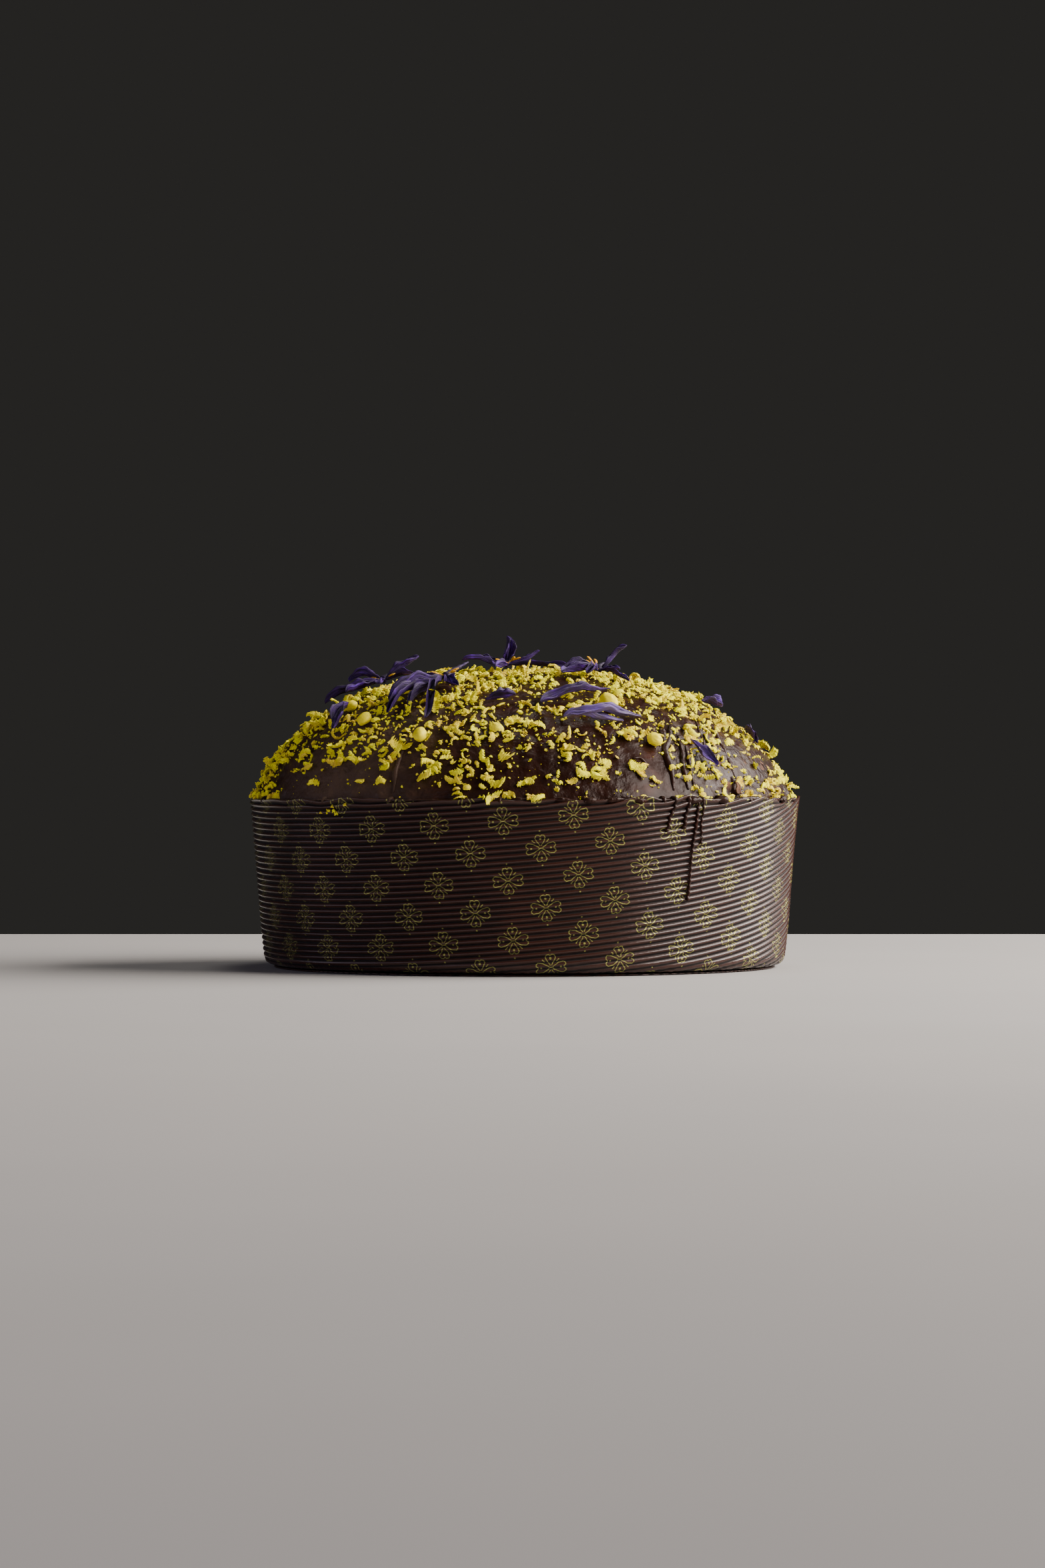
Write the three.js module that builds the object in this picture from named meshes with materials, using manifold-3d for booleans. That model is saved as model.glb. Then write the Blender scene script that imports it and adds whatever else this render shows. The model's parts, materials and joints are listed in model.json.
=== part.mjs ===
// A low, dome-shaped panettone in its corrugated paper case: a baked loaf with a dark chocolate
// glaze, yellow chocolate shavings and dried crocus flowers. Millimetres, +Z up. The origin is the
// centre of the underside, and the side with the glaze drips faces -Y and +X.

import * as THREE from 'three';
import { mergeVertices } from 'three/addons/utils/BufferGeometryUtils.js';
import Module from 'manifold-3d';

const wasm = await Module();
wasm.setup();

// ---- driving dimensions, in millimetres ----
const CASE_HEIGHT = 68;
const CASE_BASE_RADIUS = 105;
const CASE_RIM_RADIUS = 111;
const PAPER = 0.9; // height of the corrugated paper, ridge to ridge
const CORNER = 4; // rounding where the wall turns in to the hem
const HEM = 9; // width of the turned-in hem
const GAP = 0.3; // clearance between pieces that touch

const DOME_RADIUS = 108;
const DOME_FOOT = 66; // height at which the dome is widest
const DOME_RISE = 53.5;
const DOME_POWER = 2.2; // 2 would be an ellipse, and more is fuller at the shoulder
const GLAZE = 2;
const GLAZE_FOOT = 3; // how far the glaze runs down between the loaf and the case

const TURNS = 40; // facets round each turned piece
const DOME_STEPS = 9;
const PETAL_THICKNESS = 0.8;
const SHAVING_THICKNESS = 1;
const FLOWER_HEIGHT = 3.4; // the flowers lie on the shavings, so they clear the glaze by this much
const SHAVING_HEIGHT = 0.4;

const degrees = THREE.MathUtils.degToRad;

// ---- finishes ----
const finish = (color, roughness) => new THREE.MeshStandardMaterial({ color, roughness, metalness: 0 });
const CASE_PAPER = finish('#3b2420', 0.5);
const CRUST = finish('#8a5a32', 0.9);
const DARK_CHOCOLATE = finish('#22130d', 0.35);
const YELLOW_CHOCOLATE = finish('#d8c64a', 0.6);
const VIOLET_PETAL = finish('#4b3a78', 0.7);
const ORANGE_STAMEN = finish('#e39a12', 0.7);

const panettone = new THREE.Group();

function addMesh(name, geometry, material, parent = panettone) {
  const mesh = new THREE.Mesh(geometry, material);
  mesh.name = name;
  parent.add(mesh);
  return mesh;
}

// ---- closed bodies ----

// A closed body from points and triangles: shared points merged, collapsed triangles dropped,
// and the faces turned outwards if the signed volume is negative.
function closeBody(positions, triangles) {
  let geometry = new THREE.BufferGeometry();
  geometry.setAttribute('position', new THREE.Float32BufferAttribute(positions, 3));
  geometry.setIndex(Array.from(triangles));
  geometry = mergeVertices(geometry, 1e-3);
  const point = (i) => new THREE.Vector3().fromBufferAttribute(geometry.getAttribute('position'), i);
  const index = geometry.getIndex().array;
  const kept = [];
  let volume = 0;
  for (let i = 0; i < index.length; i += 3) {
    const [a, b, c] = index.slice(i, i + 3);
    if (a === b || b === c || c === a) continue;
    kept.push([a, b, c]);
    volume += point(a).dot(point(b).cross(point(c))) / 6;
  }
  geometry.setIndex(kept.flatMap(([a, b, c]) => (volume < 0 ? [a, c, b] : [a, b, c])));
  return geometry;
}

function closeGeometry(geometry) {
  const count = geometry.getAttribute('position').count;
  const index = geometry.getIndex()?.array ?? Array.from({ length: count }, (_, i) => i);
  return closeBody(geometry.getAttribute('position').array, index);
}

// Several overlapping closed bodies joined into one.
function joinBodies(geometries) {
  const [first, ...others] = geometries.map((geometry) => {
    const vertProperties = new Float32Array(geometry.getAttribute('position').array);
    const triVerts = new Uint32Array(geometry.getIndex().array);
    return new wasm.Manifold(new wasm.Mesh({ numProp: 3, vertProperties, triVerts }));
  });
  const joined = others.reduce((sum, next) => sum.add(next), first).getMesh();
  return closeBody(joined.vertProperties, joined.triVerts);
}

// A piece turned about +Z from a profile of [radius, height] points.
function turned(profile) {
  const points = profile.map(([radius, height]) => new THREE.Vector2(radius, height));
  return closeGeometry(new THREE.LatheGeometry(points, TURNS).rotateX(Math.PI / 2));
}

// A round rod of one radius along a smooth curve through the points.
function rod(points, radius, steps, sides = 6) {
  const section = new THREE.Shape();
  for (let i = 0; i < sides; i += 1) {
    const angle = (2 * Math.PI * i) / sides;
    section[i ? 'lineTo' : 'moveTo'](radius * Math.cos(angle), radius * Math.sin(angle));
  }
  const extrudePath = new THREE.CatmullRomCurve3(points);
  return closeGeometry(new THREE.ExtrudeGeometry(section, { steps, extrudePath, bevelEnabled: false }));
}

// ---- the dome, and places on it ----

// Half outline of the dome, inset by a distance, from the widest point up to the top:
// (radius / R) ^ power + (height / rise) ^ 2 = 1.
function domeOutline(inset) {
  return Array.from({ length: DOME_STEPS + 1 }, (_, i) => {
    const angle = (Math.PI / 2) * (1 - i / DOME_STEPS);
    const radius = (DOME_RADIUS - inset) * Math.sin(angle) ** (2 / DOME_POWER);
    return [radius, DOME_FOOT + (DOME_RISE - inset) * Math.cos(angle)];
  });
}

const domeHeight = (radius) =>
  DOME_FOOT + DOME_RISE * Math.sqrt(Math.max(0, 1 - (radius / DOME_RADIUS) ** DOME_POWER));

// The frame of a place on the glaze: forward along the heading, left, and up along the normal.
function placeOnDome(x, y, heading, height) {
  const radius = Math.hypot(x, y);
  const step = 0.01;
  const slope = (domeHeight(radius + step) - domeHeight(radius - step)) / (2 * step);
  const up = new THREE.Vector3((-slope * x) / radius, (-slope * y) / radius, 1).normalize();
  const ahead = new THREE.Vector3(Math.cos(degrees(heading)), Math.sin(degrees(heading)), 0);
  const left = up.clone().cross(ahead).normalize();
  const forward = left.clone().cross(up);
  const place = new THREE.Matrix4().makeBasis(forward, left, up);
  const origin = new THREE.Vector3(x, y, domeHeight(radius)).addScaledVector(up, height);
  return place.setPosition(origin);
}

// ---- paper case ----

const wallOutside = (z) => CASE_BASE_RADIUS + ((CASE_RIM_RADIUS - CASE_BASE_RADIUS) * z) / CASE_HEIGHT;
const wallInside = (z) => wallOutside(z) - PAPER;

function cornerArc(radius, centreRadius, centreHeight) {
  return [0, 22.5, 45, 67.5].map((angle) => [
    centreRadius + radius * Math.sin(degrees(angle)),
    centreHeight - radius * Math.cos(degrees(angle)),
  ]);
}

function makeCase() {
  const hemHeight = PAPER + GAP;
  const turnHeight = hemHeight + CORNER;
  const turnRadius = wallOutside(turnHeight) - CORNER;
  const hemRadius = turnRadius - HEM;
  const outside = [...cornerArc(CORNER, turnRadius, turnHeight), [wallOutside(turnHeight), turnHeight],
    [CASE_RIM_RADIUS, CASE_HEIGHT]];
  const inside = [...cornerArc(CORNER - PAPER, turnRadius, turnHeight), [wallInside(turnHeight), turnHeight],
    [CASE_RIM_RADIUS - PAPER, CASE_HEIGHT]];
  const wall = [[hemRadius, hemHeight], ...outside, ...inside.reverse(), [hemRadius, hemHeight + PAPER]];
  addMesh('case_wall', turned([...wall, wall[0]]), CASE_PAPER);

  const base = [[0, 0], [turnRadius, 0], [turnRadius, PAPER], [0, PAPER]];
  addMesh('case_base', turned(base), CASE_PAPER);
}

// ---- loaf and glaze ----

const GLAZE_BOTTOM = DOME_FOOT - GLAZE_FOOT;

function makeLoaf() {
  const bottom = 2 * (PAPER + GAP);
  const turnHeight = bottom + CORNER;
  const shoulder = GLAZE_BOTTOM - GAP;
  const turnRadius = wallInside(turnHeight) - CORNER - GAP;
  const side = [...cornerArc(CORNER, turnRadius, turnHeight), [wallInside(turnHeight) - GAP, turnHeight],
    [wallInside(shoulder) - GAP, shoulder]];
  const dome = domeOutline(GLAZE + GAP);
  const neck = [dome[0][0], shoulder];
  addMesh('loaf', turned([[0, bottom], ...side, neck, ...dome]), CRUST);
}

// Each drip leaves the glaze inside the rim, bends over it and runs down the outside of the case:
// azimuth at the rim and at the end, height of the end, and radius, in degrees and millimetres.
const DRIPS = [
  [-58.4, -60.3, 56, 0.8],
  [-55.1, -56.2, 57, 0.9],
  [-52.8, -54.4, 29, 0.9],
  [-51.5, -51.6, 51, 0.7],
];

function dripBody([rimAzimuth, endAzimuth, endHeight, radius]) {
  const clear = radius + 2 * GAP;
  const start = CASE_HEIGHT + 2.6;
  const point = (azimuth, distance, height) =>
    new THREE.Vector3(distance * Math.cos(degrees(azimuth)), distance * Math.sin(degrees(azimuth)), height);
  const path = [
    point(rimAzimuth, DOME_RADIUS - 1.4, start),
    point(rimAzimuth, wallInside(CASE_HEIGHT), CASE_HEIGHT + clear + 0.2),
    point(rimAzimuth, CASE_RIM_RADIUS + 0.7 * clear, CASE_HEIGHT + 0.8 * clear),
  ];
  const runs = 4;
  for (let i = 0; i <= runs; i += 1) {
    const azimuth = THREE.MathUtils.lerp(rimAzimuth, endAzimuth, i / runs);
    const height = THREE.MathUtils.lerp(CASE_HEIGHT - 1.5, endHeight, i / runs);
    path.push(point(azimuth, wallOutside(height) + clear, height));
  }
  return rod(path, radius, 12);
}

function makeGlaze() {
  const foot = [[wallInside(GLAZE_BOTTOM) - GAP, GLAZE_BOTTOM], [wallInside(DOME_FOOT) - GAP, DOME_FOOT],
    [DOME_RADIUS + 0.6, CASE_HEIGHT]];
  const outside = domeOutline(0).slice(1);
  const inside = domeOutline(GLAZE).reverse();
  const start = [DOME_RADIUS - GLAZE, GLAZE_BOTTOM];
  const coat = turned([start, ...foot, ...outside, ...inside, start]);
  addMesh('chocolate_glaze', joinBodies([coat, ...DRIPS.map(dripBody)]), DARK_CHOCOLATE);
}

// ---- tepals and flowers ----

// A tepal as a thin lens over a grid, root at the origin, pointing along +X. Its centre line bends
// from the lift angle by the bend angle on an arc, its half width is widest at 60% of the length,
// it is cupped across, and its two faces meet at the edge.
function tepalBody({ length, width, lift = 10, bend = 20, cup = 0.25 }) {
  const [rows, columns] = [5, 4];
  const start = degrees(lift);
  const turn = degrees(bend || 0.1);
  const positions = [];
  for (const face of [1, -1]) {
    for (let i = 0; i <= rows; i += 1) {
      const u = i / rows;
      const angle = start + turn * u;
      const half = (width / 2) * (0.16 * (1 - u) + Math.sin(Math.PI * u ** 1.35) ** 0.8);
      for (let j = 0; j <= columns; j += 1) {
        const v = (2 * j) / columns - 1;
        const rim = i === 0 || i === rows || j === 0 || j === columns;
        const offset = cup * half * v * v + (rim ? 0 : (face * PETAL_THICKNESS) / 2);
        positions.push(
          (length * (Math.sin(angle) - Math.sin(start))) / turn - offset * Math.sin(angle),
          half * v,
          (length * (Math.cos(start) - Math.cos(angle))) / turn + offset * Math.cos(angle),
        );
      }
    }
  }
  const across = columns + 1;
  const triangles = [];
  for (let i = 0; i < rows; i += 1) {
    for (let j = 0; j < columns; j += 1) {
      const a = i * across + j;
      const b = a + (rows + 1) * across;
      triangles.push(a, a + across, a + 1, a + 1, a + across, a + across + 1);
      triangles.push(b, b + 1, b + across, b + 1, b + across + 1, b + across);
    }
  }
  return closeBody(positions, triangles);
}

// Flowers: place of the throat on the dome, heading and length of the tube, the tepals as
// [heading, length, width, lift, bend], and the stamens as [heading, lift]. The loose tepals
// below are [x, y, heading, length, width, lift, bend].
const FLOWERS = [
  {
    x: -56, y: -10, tube: [60, 9],
    tepals: [[188, 24, 7, 6, -10], [206, 17, 6.5, 12, -14], [166, 15, 7, 38, -50], [350, 13, 5, 4, -8],
      [15, 18, 5.5, 20, 6], [265, 12, 5, 8, -18]],
    stamens: [[110, 50], [75, 64], [330, 58]],
  },
  {
    x: -31, y: -42, tube: [55, 16],
    tepals: [[215, 27, 8, 4, -6], [228, 34, 7.5, 2, -8], [244, 30, 7, 3, -14], [257, 36, 6.5, 2, -13],
      [284, 20, 7, 6, -22], [190, 13, 5, 14, 0]],
    stamens: [[170, 50], [330, 55], [10, 62]],
  },
  {
    x: -7, y: -10, tube: [100, 9],
    tepals: [[184, 18, 4.5, 4, 10], [168, 11, 4.5, 16, 8], [95, 12, 5, 78, 8], [10, 15, 3.6, 10, 30],
      [355, 26, 5, 1, -2], [250, 12, 6, 5, -16]],
    stamens: [[300, 46], [352, 58], [226, 60]],
  },
  {
    x: 29, y: -30, tube: [80, 9],
    tepals: [[24, 16, 5, 26, 40], [203, 17, 6.5, 10, -34], [228, 21, 7.5, 5, -22], [250, 14, 6, 5, -16],
      [312, 18, 3.6, 12, -24], [350, 9, 4, 12, 8]],
    stamens: [[130, 60], [160, 42], [60, 64]],
  },
];

const LOOSE_TEPALS = [
  [33, -57, 221, 35, 7, 3, -6],
  [43, -75, 202, 32, 7.5, 5, -4],
  [38, -82, 203, 28, 5, 4, 2],
  [-15, -75, 8, 12, 7, 8, 0],
  [-76, -57, 54, 19, 6.5, 6, -4],
  [71, -15, 15, 9, 6, 8, -14],
  [88, -22, 315, 9, 7, 14, -40],
  [64.5, -71.5, 335, 13, 5.5, 5, -8],
  [-40, 62, 120, 21, 7, 8, 4],
  [38, 58, 200, 23, 7, 6, 6],
];

function placed(geometry, place) {
  return geometry.applyMatrix4(place);
}

function makeTepal([length, width, lift, bend], place) {
  return placed(tepalBody({ length, width, lift, bend }), place);
}

function makeFlower({ x, y, tube, tepals, stamens }, number) {
  const throatRadius = 1.6;
  const throat = closeGeometry(new THREE.SphereGeometry(throatRadius, 8, 6).translate(0, 0, throatRadius / 2));
  const [tubeHeading, tubeLength] = tube;
  const tubePath = [0, 0.5, 1].map((u) => new THREE.Vector3(-tubeLength * u, 0, 0.6 - 1.2 * u * u));
  const tubeBody = rod(tubePath.reverse(), 0.8, 4);
  const bodies = [
    placed(throat, placeOnDome(x, y, 0, FLOWER_HEIGHT)),
    placed(tubeBody, placeOnDome(x, y, tubeHeading + 180, FLOWER_HEIGHT)),
    ...tepals.map(([heading, ...size]) => makeTepal(size, placeOnDome(x, y, heading, FLOWER_HEIGHT))),
  ];
  addMesh(`crocus_${number}_tepals`, joinBodies(bodies), VIOLET_PETAL);

  // The stamens share a seat just above the throat, a little along the first one's heading.
  const stamenLength = 8;
  const seatRadius = 0.7;
  const seatHeight = FLOWER_HEIGHT + throatRadius * 1.5 + 2 * GAP + seatRadius;
  const shift = degrees(stamens[0][0]);
  const seatPlace = (heading) => placeOnDome(x + 2 * Math.cos(shift), y + 2 * Math.sin(shift), heading, seatHeight);
  const filaments = stamens.map(([heading, lift]) => {
    const reach = new THREE.Vector3(Math.cos(degrees(lift)), 0, Math.sin(degrees(lift)));
    const path = [0, 0.5, 1].map((u) => reach.clone().multiplyScalar(stamenLength * u));
    return placed(rod(path, 0.5, 2), seatPlace(heading));
  });
  const seatBody = closeGeometry(new THREE.SphereGeometry(seatRadius, 6, 4));
  addMesh(`crocus_${number}_stamens`, joinBodies([placed(seatBody, seatPlace(0)), ...filaments]), ORANGE_STAMEN);
}

// ---- shavings and drops ----

// Smooth round drops: [x, y, radius]. Curled shavings: [x, y, heading, length, width, curl angle].
const DROPS = [
  [-67, -42, 2.6], [-61, -62, 3], [-39, -86, 3], [31.5, -71, 3.8], [49, -82, 3], [20, 40, 2.6],
];

const SHAVINGS = [
  [58, -8, 100, 9, 4, 150], [52, -38, 200, 8, 5, 70], [-49, -86, 20, 9, 6, 30], [-36, -96, 120, 8, 6, 90],
  [-25, -101, 10, 8, 6, 110], [4, -106, 30, 8, 5, 160], [-13, -104, 75, 7, 5, 120], [30, -99, 220, 8, 5, 140],
  [43, -92, 150, 8, 5, 100], [-54, -90, 340, 7, 4, 90], [76, -76, 15, 7, 5, 110], [85, -62, 100, 8, 5, 140],
  [-97, -46, 65, 8, 5, 110], [-103, -28, 80, 7, 4, 90], [-84, -61, 140, 8, 5, 120], [-72, -71, 0, 8, 5, 90],
  [63, -66, 20, 10, 5, 210], [-5, -88, 60, 8, 5, 120], [-26, -84, 280, 8, 4, 90], [96, -44, 130, 7, 4, 120],
  [70, -8, 60, 7, 5, 90], [98, 12, 30, 8, 5, 110], [72, 52, 210, 8, 5, 130], [8, 84, 80, 9, 5, 110],
  [-52, 82, 10, 8, 5, 120], [-92, 30, 150, 8, 5, 100], [-20, 22, 300, 9, 5, 130],
];

// A shaving is a flat strip rolled about an axis across it: an arc band of the strip's length,
// extruded across its width, with the band's middle on the glaze.
function shavingBody(length, width, curl) {
  const angle = degrees(curl);
  const radius = length / angle;
  const band = new THREE.Shape();
  band.absarc(0, 0, radius, -Math.PI / 2 - angle / 2, -Math.PI / 2 + angle / 2, false);
  band.absarc(0, 0, radius - SHAVING_THICKNESS, -Math.PI / 2 + angle / 2, -Math.PI / 2 - angle / 2, true);
  const body = new THREE.ExtrudeGeometry(band, { depth: width, bevelEnabled: false, curveSegments: 3 });
  return closeGeometry(body.translate(0, radius, -width / 2).rotateX(Math.PI / 2));
}

function makeToppings() {
  LOOSE_TEPALS.forEach(([x, y, heading, ...size], i) => {
    const body = makeTepal(size, placeOnDome(x, y, heading, FLOWER_HEIGHT));
    addMesh(`loose_tepal_${i + 1}`, body, VIOLET_PETAL);
  });
  DROPS.forEach(([x, y, radius], i) => {
    const body = closeGeometry(new THREE.SphereGeometry(radius, 10, 6).scale(1, 1, 0.7));
    const place = placeOnDome(x, y, 0, SHAVING_HEIGHT + 0.7 * radius);
    addMesh(`choc_drop_${i + 1}`, placed(body, place), YELLOW_CHOCOLATE);
  });
  SHAVINGS.forEach(([x, y, heading, length, width, curl], i) => {
    const place = placeOnDome(x, y, heading, SHAVING_HEIGHT);
    addMesh(`shaving_${i + 1}`, placed(shavingBody(length, width, curl), place), YELLOW_CHOCOLATE);
  });
}

makeCase();
makeLoaf();
makeGlaze();
FLOWERS.forEach((flower, i) => makeFlower(flower, i + 1));
makeToppings();

export default panettone;
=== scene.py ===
"""A panettone in its corrugated paper case, with a dark chocolate glaze, yellow chocolate
shavings and dried crocus flowers. It is laid out as a Blender add-on and run as a script.

All shapes are worked out in millimetres with numpy and stored in metres.
"""

import json
import math

import bpy
import numpy as np
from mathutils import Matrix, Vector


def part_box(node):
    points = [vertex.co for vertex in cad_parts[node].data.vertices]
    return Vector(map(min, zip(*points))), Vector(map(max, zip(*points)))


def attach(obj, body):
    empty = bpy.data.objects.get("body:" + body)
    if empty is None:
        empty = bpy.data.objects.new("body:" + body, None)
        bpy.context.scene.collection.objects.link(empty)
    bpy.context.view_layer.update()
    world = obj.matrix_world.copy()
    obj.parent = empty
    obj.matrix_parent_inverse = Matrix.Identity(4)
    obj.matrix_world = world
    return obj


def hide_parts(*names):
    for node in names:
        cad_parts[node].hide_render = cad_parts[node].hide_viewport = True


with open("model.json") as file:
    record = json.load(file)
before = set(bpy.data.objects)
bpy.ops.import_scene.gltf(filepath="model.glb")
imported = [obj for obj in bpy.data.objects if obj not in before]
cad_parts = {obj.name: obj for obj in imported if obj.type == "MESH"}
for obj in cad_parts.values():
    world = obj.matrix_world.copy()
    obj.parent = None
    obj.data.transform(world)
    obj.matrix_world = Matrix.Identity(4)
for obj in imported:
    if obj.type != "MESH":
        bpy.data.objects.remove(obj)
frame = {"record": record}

bl_info = {
    "name": "Panettone",
    "version": (1, 0, 0),
    "blender": (4, 5, 0),
    "location": "View3D > Sidebar > Panettone",
    "description": "Builds a glazed panettone in a paper case, with shavings and dried flowers",
    "category": "Add Mesh",
}

MM = 0.001
TURN = 2 * math.pi
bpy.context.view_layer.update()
NODES = [row["node"] for row in frame["record"]["subparts"]]


def box_mm(node):
    """The node's lowest and highest corner, in millimetres."""
    low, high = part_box(node)
    return np.array(low) / MM, np.array(high) / MM


WALL_LOW, WALL_HIGH = box_mm("case_wall")
BASE_LOW, BASE_HIGH = box_mm("case_base")
GLAZE_TOP = float(box_mm("chocolate_glaze")[1][2])
RIM_RADIUS = float(WALL_HIGH[0])
CASE_HEIGHT = float(WALL_HIGH[2])
PAPER = float(BASE_HIGH[2] - BASE_LOW[2])
BASE_DISC_RADIUS = float(BASE_HIGH[0])
GAP = float(WALL_LOW[2]) - PAPER


# ---- sizes and colours that a user would change ----

def length_setting(name, description, default, **limits):
    """A length, kept in metres."""
    return bpy.props.FloatProperty(
        name=name, description=description, default=default, unit="LENGTH", **limits)


def angle_setting(name, description, degrees):
    """An angle, given in degrees and kept in radians."""
    return bpy.props.FloatProperty(
        name=name, description=description, default=math.radians(degrees), subtype="ANGLE")


def colour_setting(name, description, default):
    """An sRGB colour."""
    return bpy.props.FloatVectorProperty(
        name=name, description=description, default=default, size=3, subtype="COLOR_GAMMA")


def count_setting(name, description, default):
    """How many bodies of a kind are scattered."""
    return bpy.props.IntProperty(name=name, description=description, default=default, min=10)


class CaseLook(bpy.types.PropertyGroup):
    """Sizes and colours of the paper case."""
    base_radius: length_setting(
        "Base radius", "Radius that the wall's slope reaches at the floor", 0.105, min=0.05)
    corner: length_setting("Corner", "Rounding where the wall turns in to the hem", 0.004, min=0.001)
    rib_pitch: length_setting("Rib pitch", "Distance from rib to rib across the sheet", 0.00227, min=0.001)
    rib_depth: length_setting("Rib depth", "Height of a rib above its groove", 0.0013, min=0.0)
    level_azimuth: angle_setting(
        "Level azimuth", "Azimuth from the front at which the ribs run level", -55.7)
    seam_azimuth: angle_setting("Seam azimuth", "Azimuth from the front of the glued lap", 163)
    print_period: bpy.props.FloatVectorProperty(
        name="Print period", description="Repeat of the print along and across the ribs", size=2,
        default=(0.0273, 0.02305), unit="LENGTH")
    paper: colour_setting("Paper", "Colour of the paper", (0.172, 0.09, 0.066))
    gold: colour_setting("Gold", "Colour of the printed flowers", (0.68, 0.68, 0.36))


class GlazeLook(bpy.types.PropertyGroup):
    """Sizes and colours of the loaf and its glaze."""
    dome_radius: length_setting("Dome radius", "Widest radius of the dome", 0.108, min=0.05)
    dome_foot: length_setting("Dome foot", "Height at which the dome is widest", 0.066, min=0.01)
    power: bpy.props.FloatProperty(
        name="Fullness", description="Power of the dome's outline, 2 for an ellipse", default=2.2,
        min=1.5, max=4)
    thickness: length_setting("Thickness", "Thickness of the glaze", 0.002, min=0.0005)
    chocolate: colour_setting("Chocolate", "Colour of the dark chocolate", (0.17, 0.085, 0.058))


class ToppingLook(bpy.types.PropertyGroup):
    """Numbers and colours of the shavings, crumbs and flowers."""
    large: count_setting("Large shavings", "Scattered shavings of about 4 to 9 mm", 380)
    middling: count_setting("Middling shavings", "Scattered shavings of about 2 to 6 mm", 3240)
    small: count_setting("Small shavings", "Scattered chips of about 1 to 3 mm", 2800)
    specks: count_setting("Specks", "Fine specks on the glaze", 2600)
    seed: bpy.props.IntProperty(name="Seed", description="Seed of the scatter", default=7)
    yellow: colour_setting("Yellow", "Colour of the yellow chocolate", (0.98, 0.935, 0.19))
    violet: colour_setting("Violet", "Colour of the dried tepals", (0.205, 0.085, 0.345))


class StageLook(bpy.types.PropertyGroup):
    """Camera, floor and backdrop."""
    camera_height: length_setting(
        "Camera height", "Height of the level camera above the floor", 0.074)
    camera_distance: length_setting("Camera distance", "Distance from the loaf's axis", 1.866)
    camera_side: length_setting("Camera side", "Sideways place of the camera", -0.0008)
    lens_mm: bpy.props.FloatProperty(
        name="Lens", description="Focal length in millimetres on a 36 mm film side", default=105.6)
    floor: colour_setting("Floor", "Colour of the floor", (0.68, 0.675, 0.665))
    backdrop: colour_setting("Backdrop", "Colour behind the floor", (0.168, 0.164, 0.157))


# ---- arrays ----

def smoothstep(low, high, x):
    """0 below low, 1 above high, and a smooth cubic between them."""
    t = np.clip((x - low) / (high - low), 0, 1)
    return t * t * (3 - 2 * t)


def waves(points, wavelength, seed, count=20):
    """Smooth noise of about -1 to 1: the scaled sum of sine waves in seeded directions, each with
    a seeded phase and a wavelength near the one given."""
    rng = np.random.default_rng(seed)
    directions = rng.normal(size=(count, 3))
    directions /= np.linalg.norm(directions, axis=1, keepdims=True)
    numbers = TURN / (wavelength * rng.uniform(0.7, 1.5, count))
    phases = rng.uniform(0, TURN, count)
    angles = np.asarray(points) @ (directions * numbers[:, None]).T + phases
    return np.sin(angles).sum(axis=-1) * math.sqrt(1 / count)


def quads(grid):
    """Quads of a grid of point numbers. Rows run forward and columns left, so the faces look up."""
    return np.stack([grid[:-1, :-1], grid[1:, :-1], grid[1:, 1:], grid[:-1, 1:]], -1).reshape(-1, 4)


def full_turn(count):
    """One row of evenly spaced azimuths, for the columns of a closed ring."""
    return np.linspace(0, TURN, count, endpoint=False)[None]


def ring_grid(rows, columns):
    """Point numbers of rows of closed rings, with the first column repeated at the end."""
    grid = np.arange(rows * columns).reshape(rows, columns)
    return np.concatenate([grid, grid[:, :1]], axis=1)


def fan(ring, pole, reverse=False):
    """Triangles from a closed ring of point numbers to a pole."""
    following = ring[1:] if ring[0] == ring[-1] else np.roll(ring, -1)
    edge = ring[:-1] if ring[0] == ring[-1] else ring
    triangles = np.stack([edge, following, np.full(len(edge), pole)], -1)
    return triangles[:, ::-1] if reverse else triangles


def closed_body(rings, top, bottom):
    """A closed body from rows of closed rings, the top row first, and the two poles that end it."""
    grid = ring_grid(*rings.shape[:2])
    points = np.concatenate([rings.reshape(-1, 3), [top, bottom]])
    first, last = len(points) - 2, len(points) - 1
    return points, [quads(grid), fan(grid[0], first), fan(grid[-1], last, True)]


def grid_normals(grid):
    """Unit normals of a grid of points: the cross product of its two steps."""
    normal = np.cross(np.gradient(grid, axis=-3), np.gradient(grid, axis=-2))
    return normal / np.maximum(np.linalg.norm(normal, axis=-1, keepdims=True), 1e-9)


def thin_sheet(middle, half_thickness):
    """A closed thin sheet round a grid of middle points (..., rows, columns, 3): an upper grid and
    a lower one, each half a thickness along the normal, that meet in the edge points."""
    rows, columns = middle.shape[-3:-1]
    offset = grid_normals(middle) * half_thickness[..., None]
    edge = np.ones((rows, columns, 1))
    edge[1:-1, 1:-1] = 0
    upper = middle + offset * (1 - edge)
    lower = (middle - offset)[..., 1:-1, 1:-1, :]
    lead = middle.shape[:-3]
    points = np.concatenate([upper.reshape(*lead, -1, 3), lower.reshape(*lead, -1, 3)], axis=-2)
    top = np.arange(rows * columns).reshape(rows, columns)
    bottom = top.copy()
    inner = (rows - 2) * (columns - 2)
    bottom[1:-1, 1:-1] = rows * columns + np.arange(inner).reshape(rows - 2, columns - 2)
    return points, np.concatenate([quads(top), quads(bottom)[:, ::-1]])


def repeat_faces(faces, copies, points_each):
    """The same faces for each of many equal bodies stacked one after another."""
    shift = np.arange(copies)[:, None, None] * points_each
    return (faces[None] + shift).reshape(-1, faces.shape[1])


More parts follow.
